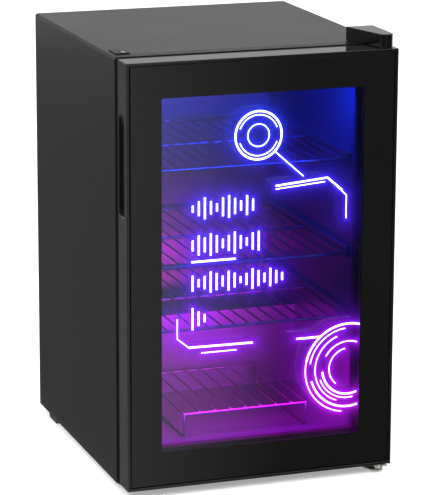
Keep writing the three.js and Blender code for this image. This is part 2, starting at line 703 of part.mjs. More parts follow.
// Fixed rear feet: short tapered skids under the compressor rail.
const REAR_FOOT_LENGTH = 47;
const REAR_FOOT_WIDTH = 24;
const REAR_FOOT_INSET = 4.5;
const REAR_FOOT_SETBACK = 38; // from the cabinet's back to the foot's back edge
const REAR_FOOT_Y = BACK_Y - REAR_FOOT_SETBACK - REAR_FOOT_LENGTH;
for (const [name, side] of [["rear_foot_left", -1], ["rear_foot_right", 1]]) {
  const height = FOOT_HEIGHT - FIT;
  const taper = 4;
  const skid = outline([
    [taper, 0],
    [REAR_FOOT_LENGTH - taper, 0],
    [REAR_FOOT_LENGTH, height],
    [0, height],
  ]);
  const middle = side * (HALF_WIDTH - REAR_FOOT_INSET - REAR_FOOT_WIDTH / 2);
  const foot = prism("X", skid, -REAR_FOOT_WIDTH / 2, REAR_FOOT_WIDTH / 2);
  piece(cabinet, name, foot, BLACK_RUBBER, [middle, REAR_FOOT_Y, 0]);
}

// Screwed front feet: a disc with finger notches on a threaded stud.
function levellingFoot() {
  const disc = 14;
  const thickness = 6;
  const notches = 8;
  const body = turned(
    [
      [0, 0],
      [disc - 1, 0],
      [disc, 1],
      [disc, thickness - 1],
      [disc - 1, thickness],
      [STUD_RADIUS, thickness],
      [STUD_RADIUS, STUD_TOP_Z],
      [0, STUD_TOP_Z],
    ],
    0,
    0,
  );
  const grips = Array.from({ length: notches }, (_, k) => {
    const angle = (k / notches) * 2 * Math.PI;
    const at = [(disc + 1) * Math.cos(angle), (disc + 1) * Math.sin(angle)];
    return hole(at, 2.5, [-THROUGH, thickness + THROUGH], 8);
  });
  return cut(body, grips);
}
for (const [name, side] of [["front_foot_left", -1], ["front_foot_right", 1]]) {
  piece(cabinet, name, levellingFoot(), BLACK_ABS, [side * STUD_X, STUD_Y, 0]);
}

// ---- Inside the cabin ----

const cabin = new THREE.Group();
fridge.add(cabin);

// A wire shelf about its own origin: a bent front and side frame, cross rails, and a deck of thin wires.
function shelf() {
  const half = CABIN_HALF - LEDGE_SIDE_GAP - FRAME_WIRE;
  const front = FRONT_Y + SHELF_SETBACK + FRAME_WIRE;
  const back = CABIN_BACK_Y - SHELF_REAR_GAP - FRAME_WIRE;
  const corners = [[-half, back, 0], [-half, front, 0], [half, front, 0], [half, back, 0]];
  const frame = wire(FRAME_WIRE, corners, 10);
  const rail = (y) => rod(FRAME_WIRE, [-half, y, 0], [half, y, 0], WIRE_SIDES);
  const deckZ = FRAME_WIRE + DECK_WIRE - WELD_SINK;
  const inner = CABIN_HALF - LEDGE_REACH - 6;
  const count = 2 * Math.floor(inner / DECK_PITCH) + 1;
  const deck = Array.from({ length: count }, (_, k) => {
    const x = (k - (count - 1) / 2) * DECK_PITCH;
    return rod(DECK_WIRE, [x, front - 1, deckZ], [x, back + 1, deckZ], WIRE_SIDES);
  });
  return joined([frame, rail(back - 1), rail((front + back) / 2), ...deck]);
}
for (const [name, z] of Object.entries(SHELF_HEIGHTS)) {
  piece(cabin, name, shelf(), BLACK_WIRE, [0, 0, z]);
}

// A low wire rack that stands on the cabin's floor in front of the step.
function bottomRack() {
  const half = RACK_WIDTH / 2 - RACK_WIRE;
  const front = FRONT_Y + RACK_SETBACK;
  const back = STEP_FRONT_Y - 12;
  const low = CABIN_FLOOR_Z + FIT + RACK_WIRE;
  const top = CABIN_FLOOR_Z + RACK_HEIGHT - RACK_WIRE;
  const legs = [-half, half].flatMap((x) => [
    wire(RACK_WIRE, [[x, front, top], [x, front, low], [x, back, low], [x, back, top]], 6),
    rod(RACK_WIRE, [x, front - 1, top], [x, back + 1, top], WIRE_SIDES),
  ]);
  const rail = (y) => rod(RACK_WIRE, [-half - 1, y, top], [half + 1, y, top], WIRE_SIDES);
  const count = 2 * Math.floor((half - 5) / RACK_PITCH) + 1;
  const deck = Array.from({ length: count }, (_, k) => {
    const x = (k - (count - 1) / 2) * RACK_PITCH;
    const z = top + RACK_WIRE + DECK_WIRE - WELD_SINK;
    return rod(DECK_WIRE, [x, front - 1, z], [x, back + 1, z], WIRE_SIDES);
  });
  return joined([...legs, rail(front), rail(back), ...deck]);
}
piece(cabin, "bottom_rack", bottomRack(), BLACK_WIRE);

// Control housing under the cabin's roof, open at the top, with the thermostat, the light and its switch.
const HOUSING_X = [-75, 75];
const HOUSING_Y = [FRONT_Y + 60, FRONT_Y + 150];
const HOUSING_Z = [CABIN_TOP_Z - 28, CABIN_TOP_Z - FIT];
const CONTROL_Z = CABIN_TOP_Z - 14;
const KNOB_X = -40;
const KNOB_RADIUS = 12;
const KNOB_LENGTH = 11;
const STEM_RADIUS = 3.5;
const SWITCH_X = 40;
const SWITCH_WIDTH = 21.4;
const SWITCH_WINDOW_HEIGHT = 15;
const SWITCH_PIVOT_Y = HOUSING_Y[0] + 6;
const SWITCH_TILT = 7;
const LENS_X = [-45, 45];
const LENS_Y = [HOUSING_Y[0] + 50, HOUSING_Y[0] + 78];

function controlHousing() {
  const body = block(HOUSING_X, HOUSING_Y, HOUSING_Z);
  const inside = block(
    inset(HOUSING_X, LINER_WALL),
    inset(HOUSING_Y, LINER_WALL),
    [HOUSING_Z[0] + LINER_WALL, HOUSING_Z[1] + THROUGH],
  );
  const frontWall = [HOUSING_Y[0] - THROUGH, HOUSING_Y[0] + LINER_WALL + THROUGH];
  const [stemFrom, stemTo] = frontWall.map((y) => [KNOB_X, y, CONTROL_Z]);
  const stemHole = rod(STEM_RADIUS + RUNNING, stemFrom, stemTo);
  const switchWindow = block(
    inset([SWITCH_X - SWITCH_WIDTH / 2, SWITCH_X + SWITCH_WIDTH / 2], -FIT),
    frontWall,
    [CONTROL_Z - SWITCH_WINDOW_HEIGHT / 2, CONTROL_Z + SWITCH_WINDOW_HEIGHT / 2],
  );
  const lensWindow = block(
    inset(LENS_X, -FIT),
    inset(LENS_Y, -FIT),
    [HOUSING_Z[0] - THROUGH, HOUSING_Z[0] + LINER_WALL + THROUGH],
  );
  return cut(body, [inside, stemHole, switchWindow, lensWindow]);
}
piece(cabin, "control_housing", controlHousing(), BLACK_ABS);

const STEM_END_Y = HOUSING_Y[0] + 16;
const thermostat = block(
  [KNOB_X - 18, KNOB_X + 18],
  [STEM_END_Y + FIT, STEM_END_Y + 30],
  [CONTROL_Z - 10, CONTROL_Z + 10],
);
piece(cabin, "thermostat_body", thermostat, ZINC);

const lens = block(LENS_X, LENS_Y, [HOUSING_Z[0] - 1.5, HOUSING_Z[0] + LINER_WALL]);
piece(cabin, "lamp_lens", lens, OPAL_PLASTIC);

const lampBoard = block(inset(LENS_X, 6), inset(LENS_Y, 4), [HOUSING_Z[0] + 4, HOUSING_Z[0] + 5.6]);
piece(cabin, "lamp_board", lampBoard, WHITE_BOARD);

// Thermostat knob about its own origin, at the housing's front with its axis along Y.
function knob() {
  const foot = -FIT;
  const face = foot - KNOB_LENGTH;
  const grip = rod(KNOB_RADIUS, [0, face, 0], [0, foot, 0], SIDES);
  const stem = rod(STEM_RADIUS, [0, foot - 1, 0], [0, STEM_END_Y - HOUSING_Y[0], 0]);
  const pointer = block([-1.5, 1.5], [face - 1.5, face + 0.5], [0, KNOB_RADIUS - 1]);
  return joined([grip, stem, pointer]);
}
piece(cabin, "thermostat_knob", knob(), BLACK_ABS, [KNOB_X, HOUSING_Y[0], CONTROL_Z]);

// Light switch: a rocker with a hollowed face, resting pressed at the bottom.
function rocker() {
  const side = outline([[-6.5, -6.3], [3, -4.5], [3, 4.5], [-6.5, 6.3], [-5.2, 0]]);
  return prism("X", side, -SWITCH_WIDTH / 2, SWITCH_WIDTH / 2);
}
piece(
  cabin,
  "light_switch",
  rocker(),
  RED_PLASTIC,
  [SWITCH_X, SWITCH_PIVOT_Y, CONTROL_Z],
  [THREE.MathUtils.degToRad(-SWITCH_TILT), 0, 0],
);

// ---- Refrigeration, in the bay at the bottom of the back ----

const bay = new THREE.Group();
fridge.add(bay);

const RAIL_LIP = 28;
const GLAND_X = 150;
const GLAND_Z = RAIL_TOP_Z + 14;
const GLAND_RADIUS = 6;
const LIP_Y = [BACK_Y - RAIL_THICKNESS - 3, BACK_Y - 3];
const GROMMET_RADIUS = 9;
const GROMMETS = [[-70, -38], [70, -38], [-70, 38], [70, 38]];
const POD_RADIUS = 54;
const POD_STRETCH = 1.28;
const SEAM_REACH = 3; // how far the pod's weld seam stands out
const SEAM_Z = [0.42 * POD_HEIGHT, 0.5 * POD_HEIGHT]; // where the pod's wall swells out to its seam

// Steel floor of the bay, turned up along the back.
function compressorRail() {
  const side = outline([
    [BAY_FRONT_Y + FIT, BASE_Z],
    [LIP_Y[1], BASE_Z],
    [LIP_Y[1], BASE_Z + RAIL_LIP],
    [LIP_Y[0], BASE_Z + RAIL_LIP],
    [LIP_Y[0], RAIL_TOP_Z],
    [BAY_FRONT_Y + FIT, RAIL_TOP_Z],
  ]);
  const glandHole = rod(
    GLAND_RADIUS + FIT,
    [GLAND_X, LIP_Y[0] - THROUGH, GLAND_Z],
    [GLAND_X, LIP_Y[1] + THROUGH, GLAND_Z],
  );
  return prism("X", side, ...inset(SHELL_INNER, FIT)).subtract(glandHole);
}
piece(bay, "compressor_rail", compressorRail(), ZINC);

// Strain relief where the mains lead goes in: a bored sleeve with a flange on each side of the rail's lip.
function gland() {
  const flange = GLAND_RADIUS + 3;
  const along = (radius, y0, y1) => rod(radius, [GLAND_X, y0, GLAND_Z], [GLAND_X, y1, GLAND_Z]);
  const outerEnd = Math.min(LIP_Y[1] + FIT + 2.5, BACK_Y);
  return joined([
    along(GLAND_RADIUS, LIP_Y[0] - 12, outerEnd),
    along(flange, LIP_Y[0] - FIT - 2.5, LIP_Y[0] - FIT),
    along(flange, LIP_Y[1] + FIT, outerEnd),
  ]).subtract(along(GLAND_RADIUS - 2, LIP_Y[0] - 14, outerEnd + THROUGH));
}
piece(bay, "mains_lead_gland", gland(), BLACK_RUBBER);

// Rubber grommets under the compressor's saddle, waisted in the middle.
GROMMETS.forEach(([dx, dy], k) => {
  const waist = GROMMET_RADIUS - 2;
  const profile = [
    [0, 0],
    [GROMMET_RADIUS, 0],
    [GROMMET_RADIUS, 3],
    [waist, 4.5],
    [waist, 5.5],
    [GROMMET_RADIUS, 7],
    [GROMMET_RADIUS, GROMMET_HEIGHT],
    [0, GROMMET_HEIGHT],
  ];
  const place = [COMPRESSOR_X + dx, COMPRESSOR_Y + dy, RAIL_TOP_Z + FIT];
  piece(bay, "compressor_grommet_" + (k + 1), turned(profile, 0, 0, SMALL_SIDES), BLACK_RUBBER, place);
});

// Sealed compressor: a stretched round pod with a weld seam, standing on its saddle plate.
function compressor() {
  const r = POD_RADIUS;
  const h = POD_HEIGHT;
  const profile = [
    [0, 0],
    [0.68 * r, 0],
    [0.92 * r, 0.08 * h],
    [r, 0.2 * h],
    [r, SEAM_Z[0]],
    [r + SEAM_REACH, 0.44 * h],
    [r + SEAM_REACH, 0.48 * h],
    [r, SEAM_Z[1]],
    [r, 0.76 * h],
    [0.89 * r, 0.9 * h],
    [0.62 * r, 0.98 * h],
    [0, h],
  ];
  const lathe = new THREE.LatheGeometry(profile.map(([a, b]) => new THREE.Vector2(a, b)), SIDES);
  lathe.rotateX(Math.PI / 2).scale(POD_STRETCH, 1, 1).translate(0, 0, POD_Z - SADDLE_Z);
  const saddle = prism("Z", roundedRectangle([-82, 82], [-50, 50], [12, 12, 12, 12]), 0, SADDLE_THICKNESS);
  return solid(lathe).add(saddle);
}
piece(bay, "compressor", compressor(), COMPRESSOR_PAINT, [COMPRESSOR_X, COMPRESSOR_Y, SADDLE_Z]);

// Terminal cover on the compressor's end.
const POD_END_X = COMPRESSOR_X + POD_STRETCH * (POD_RADIUS + SEAM_REACH) + FIT;
const relayCover = block(
  [POD_END_X, POD_END_X + 29],
  [COMPRESSOR_Y - 22, COMPRESSOR_Y + 22],
  [POD_Z + 26, POD_Z + 84],
);
piece(bay, "relay_cover", relayCover, BLACK_ABS);

// Tray on the compressor, where its warmth dries off the defrost water.
function drainTray() {
  const x = [COMPRESSOR_X - 62, COMPRESSOR_X + 62];
  const y = [COMPRESSOR_Y - 46, COMPRESSOR_Y + 46];
  const z = [TRAY_Z, TRAY_Z + TRAY_HEIGHT];
  const wall = 1.6;
  return block(x, y, z).subtract(block(inset(x, wall), inset(y, wall), [z[0] + wall, z[1] + THROUGH]));
}
piece(bay, "drain_tray", drainTray(), BLACK_ABS);

// Tube that takes defrost water from the step in the cabin down into the tray.
const DRAIN_WALL = 1.5;
const drainEnds = [TRAY_Z + 8, STEP_TOP_Z - 0.5];
const drainTube = turned(
  [
    [DRAIN_RADIUS - DRAIN_WALL, drainEnds[0]],
    [DRAIN_RADIUS, drainEnds[0]],
    [DRAIN_RADIUS, drainEnds[1]],
    [DRAIN_RADIUS - DRAIN_WALL, drainEnds[1]],
    [DRAIN_RADIUS - DRAIN_WALL, drainEnds[0]],
  ],
  COMPRESSOR_X,
  DRAIN_Y,
  SMALL_SIDES,
);
piece(bay, "drain_tube", drainTube, BLACK_ABS);

// Where a tube leaves the pod's side at a distance from its middle.
function podSideX(side, dy) {
  return COMPRESSOR_X + side * POD_STRETCH * Math.sqrt(POD_RADIUS ** 2 - dy ** 2);
}

const dischargeZ = POD_Z + SEAM_Z[0] - 12.2;
const dischargeTube = wire(
  TUBE_RADIUS,
  [
    [podSideX(-1, 0) - FIT, COMPRESSOR_Y, dischargeZ],
    [DISCHARGE_TOP[0], COMPRESSOR_Y, dischargeZ],
    [...DISCHARGE_TOP, dischargeZ],
    [...DISCHARGE_TOP, TUBE_TOP_Z],
  ],
  12,
  8,
);
piece(bay, "discharge_tube", dischargeTube, COPPER);

const suctionZ = POD_Z + SEAM_Z[1] + 9;
const suctionOut = 20;
const suctionTube = wire(
  TUBE_RADIUS,
  [
    [podSideX(-1, suctionOut) - 1, COMPRESSOR_Y - suctionOut, suctionZ],
    [SUCTION_TOP[0], COMPRESSOR_Y - suctionOut, suctionZ],
    [...SUCTION_TOP, suctionZ],
    [...SUCTION_TOP, TUBE_TOP_Z],
  ],
  10,
  8,
);
piece(bay, "suction_tube", suctionTube, COPPER);

// Filter dryer: a swaged copper can that hangs from its tube.
const dryerZ = [BASE_Z + 40, BAY_TOP_Z - 40];
const dryer = turned(
  [
    [0, dryerZ[0]],
    [2, dryerZ[0]],
    [8, dryerZ[0] + 10],
    [8, dryerZ[1] - 10],
    [TUBE_RADIUS, dryerZ[1]],
    [TUBE_RADIUS, TUBE_TOP_Z],
    [0, TUBE_TOP_Z],
  ],
  ...DRYER_TOP,
  SMALL_SIDES,
);
piece(bay, "filter_dryer", dryer, COPPER);

// Capillary: the thin tube from the dryer up into the wall.
const CAPILLARY_RADIUS = 1.5;
const capillaryZ = BASE_Z + 22;
const capillary = wire(
  CAPILLARY_RADIUS,
  [
    [...DRYER_TOP, dryerZ[0] - FIT],
    [...DRYER_TOP, capillaryZ],
    [...CAPILLARY_TOP, capillaryZ],
    [...CAPILLARY_TOP, TUBE_TOP_Z],
  ],
  10,
);
piece(bay, "capillary_tube", capillary, COPPER);

// ---- Door ----

const door = new THREE.Group();
fridge.add(door);

const DOOR_X = [-DOOR_HALF, DOOR_HALF];
const DOOR_Z = [DOOR_BOTTOM_Z, DOOR_TOP_Z];
const WINDOW_X = inset(DOOR_X, WINDOW_MARGIN_SIDE);
const WINDOW_Z = [DOOR_Z[0] + WINDOW_MARGIN_BOTTOM, DOOR_Z[1] - WINDOW_MARGIN_TOP];
const PACK_X = inset(WINDOW_X, -GLAZING_OVERLAP);
const PACK_Z = inset(WINDOW_Z, -GLAZING_OVERLAP);
const GLASS_Y = [DOOR_FRONT_Y + GLASS_RECESS, DOOR_FRONT_Y + GLASS_RECESS + FRONT_GLASS];
const FRONT_WALL_Y = [GLASS_Y[1] + FIT, GLASS_Y[1] + FIT + MOULDED_WALL];
const PANEL_Y = [FRONT_WALL_Y[1] + FIT, FRONT_WALL_Y[1] + FIT + LIGHT_PANEL];
const BACK_FRAME_Y = [DOOR_BACK_Y - BACK_FRAME_RIM, DOOR_BACK_Y];
const STOP_Y = BACK_FRAME_Y[0] - GLAZING_STOP;
const INNER_GLASS_Y = [STOP_Y - FIT - INNER_GLASS, STOP_Y - FIT];
const SPACER_Y = [PANEL_Y[1] + FIT, INNER_GLASS_Y[0] - FIT];
const GRIP_Y = [DOOR_FRONT_Y + GRIP_FRONT, DOOR_BACK_Y - GRIP_BACK];
const GRIP_Z = [GRIP_BOTTOM, GRIP_BOTTOM + GRIP_LENGTH];

// Moulded channel round the door: outer wall with its lip, front wall behind the glass, wall round the
// panes, bosses for the hinge bushes, and a hole for the grip.
function doorFrame() {
  const wall = MOULDED_WALL;
  const back = BACK_FRAME_Y[0] - FIT;
  const outer = block(DOOR_X, [DOOR_FRONT_Y, back], DOOR_Z);
  const glassSeat = block(
    inset(DOOR_X, DOOR_LIP),
    [DOOR_FRONT_Y - THROUGH, FRONT_WALL_Y[0]],
    inset(DOOR_Z, DOOR_LIP),
  );
  const channel = ring(
    inset(DOOR_X, wall),
    inset(DOOR_Z, wall),
    [FRONT_WALL_Y[1], back + THROUGH],
    [inset(PACK_X, -FIT - wall), inset(PACK_Z, -FIT - wall)],
  );
  const packPocket = block(inset(PACK_X, -FIT), [FRONT_WALL_Y[1], back + THROUGH], inset(PACK_Z, -FIT));
  const opening = block(inset(WINDOW_X, -2), [DOOR_FRONT_Y, back], inset(WINDOW_Z, -2));
  const innerWallEnd = ring(
    inset(PACK_X, -FIT - wall - THROUGH),
    inset(PACK_Z, -FIT - wall - THROUGH),
    [STOP_Y - FIT, back + THROUGH],
    [PACK_X, PACK_Z],
  );
  const bosses = [
    [DOOR_Z[0], DOOR_Z[0] + BUSH_LENGTH + 1],
    [DOOR_Z[1] - BUSH_LENGTH - 1, DOOR_Z[1]],
  ].map((z) => hole([PIN_X, PIN_Y], BUSH_RADIUS + FIT + BOSS_WALL, z, SIDES));
  const bores = [
    [DOOR_Z[0] - THROUGH, DOOR_Z[0] + BUSH_LENGTH + 2],
    [DOOR_Z[1] - BUSH_LENGTH - 2, DOOR_Z[1] + THROUGH],
  ].map((z) => hole([PIN_X, PIN_Y], BUSH_RADIUS + FIT, z, SIDES));
  const gripHole = block([-DOOR_HALF - THROUGH, -DOOR_HALF + wall + THROUGH], GRIP_Y, GRIP_Z);
  const hollow = cut(outer, [glassSeat, channel, packPocket, opening, innerWallEnd]);
  return cut(joined([hollow, ...bosses]), [...bores, gripHole]);
}
piece(door, "door_frame", doorFrame(), BLACK_ABS);

// Rear moulding: a flat rim that carries the gasket, and a stop that holds the panes.
function backFrame() {
  const rim = ring(DOOR_X, DOOR_Z, BACK_FRAME_Y, [WINDOW_X, WINDOW_Z]);
  const stop = ring(PACK_X, PACK_Z, [STOP_Y, BACK_FRAME_Y[0] + THROUGH], [WINDOW_X, WINDOW_Z]);
  return rim.add(stop);
}
piece(door, "door_back_frame", backFrame(), BLACK_ABS);

// Grip let into the door's left side: a shallow dish, and a finger slot that widens towards the front
// inside.
function gripInsert() {
  const x = [-DOOR_HALF + FIT, -DOOR_HALF + GRIP_DEPTH];
  const y = inset(GRIP_Y, FIT);
  const z = inset(GRIP_Z, FIT);
  const slotY = [y[1] - GRIP_WALL - SLOT_WIDTH, y[1] - GRIP_WALL];
  const slotZ = [z[0] + SLOT_END_BOTTOM, z[1] - SLOT_END_TOP];
  const dishFloor = x[0] + DISH_DEPTH;
  const dish = prism(
    "X",
    roundedRectangle([y[0] + GRIP_WALL, slotY[1]], inset(z, GRIP_WALL), [4, 4, 4, 4]),
    x[0] - THROUGH,
    dishFloor,
  );
  const slot = prism("X", roundedRectangle(slotY, slotZ, [5, 5, 5, 5]), x[0] - THROUGH, x[1] - GRIP_WALL);
  const undercut = block(
    [dishFloor + 2, x[1] - GRIP_WALL],
    [slotY[0] - GRIP_UNDERCUT, slotY[1]],
    inset(slotZ, 3),
  );
  return cut(block(x, y, z), [dish, slot, undercut]);
}
piece(door, "grip_insert", gripInsert(), BLACK_ABS);

const frontGlass = block(inset(DOOR_X, DOOR_LIP + 2 * FIT), GLASS_Y, inset(DOOR_Z, DOOR_LIP + 2 * FIT));
piece(door, "front_glass", frontGlass, CLEAR_GLASS);

const panelEdge = LED_STRIP_HEIGHT + FIT;
const lightPanel = block(PACK_X, PANEL_Y, inset(PACK_Z, panelEdge));
piece(door, "light_panel", lightPanel, CLEAR_GLASS);

for (const [name, z] of [
  ["led_strip_bottom", [PACK_Z[0], PACK_Z[0] + LED_STRIP_HEIGHT]],
  ["led_strip_top", [PACK_Z[1] - LED_STRIP_HEIGHT, PACK_Z[1]]],
]) {
  piece(door, name, block(PACK_X, PANEL_Y, z), WHITE_BOARD);
}

const spacer = ring(PACK_X, PACK_Z, SPACER_Y, [inset(PACK_X, SPACER_WIDTH), inset(PACK_Z, SPACER_WIDTH)]);
piece(door, "glazing_spacer", spacer, ALUMINIUM);

piece(door, "inner_glass", block(PACK_X, INNER_GLASS_Y, PACK_Z), CLEAR_GLASS);

// Magnetic gasket: a band that narrows towards the cabinet.
function gasket() {
  const y = [DOOR_BACK_Y + FIT, FRONT_Y - FIT];
  const waist = y[0] + 3;
  const x = inset(DOOR_X, GASKET_INSET);
  const z = inset(DOOR_Z, GASKET_INSET);
  const base = ring(x, z, [y[0], waist], [inset(x, GASKET_WIDTH), inset(z, GASKET_WIDTH)]);
  const bulb = ring(inset(x, 2), inset(z, 2), [waist - 1, y[1]], [
    inset(x, GASKET_WIDTH - 2),
    inset(z, GASKET_WIDTH - 2),
  ]);
  return base.add(bulb);
}
piece(door, "door_gasket", gasket(), BLACK_RUBBER);

// Nylon bushes in the door's ends, round the hinge pins.
for (const [name, z] of [
  ["hinge_bush_bottom", [DOOR_Z[0], DOOR_Z[0] + BUSH_LENGTH]],
  ["hinge_bush_top", [DOOR_Z[1] - BUSH_LENGTH, DOOR_Z[1]]],
]) {
  const inner = PIN_RADIUS + RUNNING;
  const profile = [[inner, z[0]], [BUSH_RADIUS, z[0]], [BUSH_RADIUS, z[1]], [inner, z[1]], [inner, z[0]]];
  piece(door, name, turned(profile, PIN_X, PIN_Y), WHITE_NYLON);
}

export default fridge;
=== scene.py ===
"""Looks of a counter-height beverage fridge whose glass door carries an edge-lit panel.

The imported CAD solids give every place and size. Each visible solid is either given its real
finish, or stood for by a piece made here with rounded edges, round wires and moulded detail.
Everything is in metres, +Z up, with the door facing -Y and hung on the +X side.
"""

import json
import math

import bmesh
import bpy
import numpy as np
from mathutils import Matrix, Vector

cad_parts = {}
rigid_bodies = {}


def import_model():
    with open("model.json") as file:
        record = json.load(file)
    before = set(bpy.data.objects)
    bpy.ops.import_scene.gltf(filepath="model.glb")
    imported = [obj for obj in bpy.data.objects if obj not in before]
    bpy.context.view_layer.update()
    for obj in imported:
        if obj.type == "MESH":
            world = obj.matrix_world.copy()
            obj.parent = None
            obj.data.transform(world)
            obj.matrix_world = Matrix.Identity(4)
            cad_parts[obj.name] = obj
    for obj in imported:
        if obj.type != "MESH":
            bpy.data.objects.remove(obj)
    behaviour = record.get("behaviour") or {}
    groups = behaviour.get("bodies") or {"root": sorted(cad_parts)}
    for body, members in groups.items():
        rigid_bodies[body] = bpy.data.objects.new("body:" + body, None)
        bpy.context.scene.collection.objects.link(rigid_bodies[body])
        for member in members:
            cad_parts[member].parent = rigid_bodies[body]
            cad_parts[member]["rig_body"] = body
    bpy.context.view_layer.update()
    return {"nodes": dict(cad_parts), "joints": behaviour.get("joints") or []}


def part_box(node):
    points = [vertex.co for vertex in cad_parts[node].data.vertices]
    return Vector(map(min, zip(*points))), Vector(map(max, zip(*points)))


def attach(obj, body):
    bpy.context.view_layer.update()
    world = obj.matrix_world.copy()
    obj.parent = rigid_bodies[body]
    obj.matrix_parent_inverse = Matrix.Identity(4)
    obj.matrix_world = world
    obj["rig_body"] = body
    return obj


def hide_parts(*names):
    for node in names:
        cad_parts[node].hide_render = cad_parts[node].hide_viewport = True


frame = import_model()
nodes = frame["nodes"]
scene = bpy.context.scene

MM = 0.001
HINGE = next(joint for joint in frame["joints"] if joint["name"] == "door_hinge")
PIN = Vector((HINGE["pos_m"][0], HINGE["pos_m"][1], 0))
PIN_RADIUS = 4 * MM
UP = Vector((0, 0, 1))


# ---- Materials ----


def linear(colour):
    """Linear light from an sRGB hex colour."""
    channels = [int(colour[i : i + 2], 16) / 255 for i in (0, 2, 4)]
    return [c / 12.92 if c <= 0.04045 else ((c + 0.055) / 1.055) ** 2.4 for c in channels] + [1.0]


def add(tree, kind, inputs=None, **settings):
    """Adds a node with its settings, and gives its sockets values or links."""
    made = tree.nodes.new("ShaderNode" + kind)
    for name, value in settings.items():
        setattr(made, name, value)
    for socket, value in (inputs or {}).items():
        if isinstance(value, bpy.types.NodeSocket):
            tree.links.new(value, made.inputs[socket])
        else:
            made.inputs[socket].default_value = value
    return made


def blank(name, **sockets):
    """A material, its node tree and its shader, with the shader's own sockets set."""
    material = bpy.data.materials.new(name)
    material.use_nodes = True
    tree = material.node_tree
    shader = tree.nodes["Principled BSDF"]
    for socket, value in sockets.items():
        shader.inputs[socket.replace("_", " ")].default_value = value
    return material, tree, shader


def noise(tree, place, size, detail):
    """Cloudy noise whose patches are about a size in millimetres."""
    inputs = {"Vector": place, "Scale": 1 / (size * MM), "Detail": detail}
    return add(tree, "TexNoise", inputs).outputs["Fac"]


def raised(tree, shader, height, relief):
    """Gives a shader a relief of a depth in millimetres."""
    bump = add(tree, "Bump", {"Height": height, "Distance": relief * MM, "Strength": 1.0})
    tree.links.new(bump.outputs["Normal"], shader.inputs["Normal"])


def surface(name, light, dark, patch, roughness, grain, relief, **sockets):
    """A material with the small unevenness of a made surface.

    Its colour drifts from light to dark in patches, its roughness stays between two values,
    and its relief has grains of one width and one depth. All lengths are in millimetres.
    """
    material, tree, shader = blank(name, **sockets)
    place = add(tree, "TexCoord").outputs["Object"]
    drift = noise(tree, place, patch, 4.0)
    shades = {"Factor": drift, "A": linear(light), "B": linear(dark)}
    colour = add(tree, "Mix", shades, data_type="RGBA")
    tree.links.new(colour.outputs["Result"], shader.inputs["Base Color"])
    smooth, rough = roughness
    reach = {"Value": drift, "From Min": 0.3, "From Max": 0.7, "To Min": smooth, "To Max": rough}
    sheen = add(tree, "MapRange", reach)
    tree.links.new(sheen.outputs["Result"], shader.inputs["Roughness"])
    raised(tree, shader, noise(tree, place, grain, 2.0), relief)
    return material


# Coil-coated steel sheet, black: smooth paint with a faint orange peel that breaks up reflections.
painted_steel = surface(
    "painted_steel", "1b1b1c", "1a1a1b", 160, (0.25, 0.28), 2.2, 0.002, Specular_IOR_Level=0.08
)
# Injection-moulded ABS with a fine spark-eroded grain: even, soft sheen.
moulded_abs = surface(
    "moulded_abs", "161617", "131314", 60, (0.14, 0.22), 0.9, 0.003, Specular_IOR_Level=0.6
)
# Fine-textured ABS of the trim strip and the blanking plug: black, with little sheen.
textured_abs = surface(
    "textured_abs", "141415", "101011", 12, (0.3, 0.38), 0.5, 0.01, Specular_IOR_Level=0.08
)
# Polished-tool ABS: the hinge cover and trim come out of the mould almost glossy.
glossy_abs = surface(
    "glossy_abs", "0d0d0e", "0a0a0b", 40, (0.05, 0.09), 3.0, 0.001, Specular_IOR_Level=0.5
)
# ABS of the door's frame, from a polished tool: it mirrors the room crisply in its black skin.
polished_abs = surface(
    "polished_abs", "111112", "0e0e0f", 60, (0.04, 0.07), 3.0, 0.001, Specular_IOR_Level=0.65
)
# Vacuum-formed HIPS liner: satin skin, slightly wavy where it was drawn over the mould.
liner_hips = surface(
    "liner_hips", "1b1b20", "15151a", 120, (0.28, 0.4), 14, 0.05, Specular_IOR_Level=0.3
)
# Rigid polyurethane foam: pale yellow with a skin of small cells.
foam = surface("polyurethane_foam", "d9c48a", "c4a964", 25, (0.85, 0.95), 1.6, 0.3)
# Nitrile rubber: dull black, dusty in patches.
rubber = surface("nitrile_rubber", "161616", "202020", 18, (0.7, 0.85), 0.6, 0.02)
# Flexible PVC of the magnetic gasket: dark grey, soft sheen.
gasket_pvc = surface(
    "gasket_pvc", "0e0e10", "121214", 30, (0.45, 0.6), 1.2, 0.01, Specular_IOR_Level=0.2
)
# Powder-coated steel wire: black and glossy, with the dimples of cured powder.
coated_wire = surface("powder_coated_wire", "0f0f11", "161618", 12, (0.14, 0.24), 1.0, 0.012)
# Zinc-plated steel: cool grey, bright, with a patchy passivation film.
zinc_plate = surface(
    "zinc_plated_steel", "a9aba6", "8b8d88", 9, (0.22, 0.38), 0.5, 0.006, Metallic=1.0
)
# Mill-finish aluminium: pale and even.
aluminium = surface("mill_aluminium", "c6c9cd", "b4b7bb", 15, (0.3, 0.42), 0.4, 0.005, Metallic=1.0)
# Black-anodised aluminium of the glazing spacer: satin black, so the pane's edge stays dark.
anodised_black = surface(
    "black_anodised_aluminium", "1c1c20", "141418", 25, (0.35, 0.45), 0.5, 0.004,
    Specular_IOR_Level=0.4,
)
# Drawn copper tube: warm, darker where it has tarnished.
copper = surface("drawn_copper", "c07a50", "8f5336", 22, (0.25, 0.42), 0.7, 0.01, Metallic=1.0)
# Compressor enamel: thick black gloss over a pressed steel pod.
pod_enamel = surface("pod_enamel", "0d0d0e", "141415", 30, (0.16, 0.26), 4.0, 0.03)
# Opal acrylic of the lamp's lens: milky, glossy outside.
opal = surface(
    "opal_acrylic", "e9eef4", "dfe5ee", 30, (0.15, 0.22), 2.0, 0.003,
    Emission_Color=linear("9db4ff"), Emission_Strength=0.7,
)
# Solder-masked board: white lacquer, faintly glossy.
white_board = surface("white_solder_mask", "efefe9", "e4e4dd", 8, (0.35, 0.5), 0.8, 0.01)
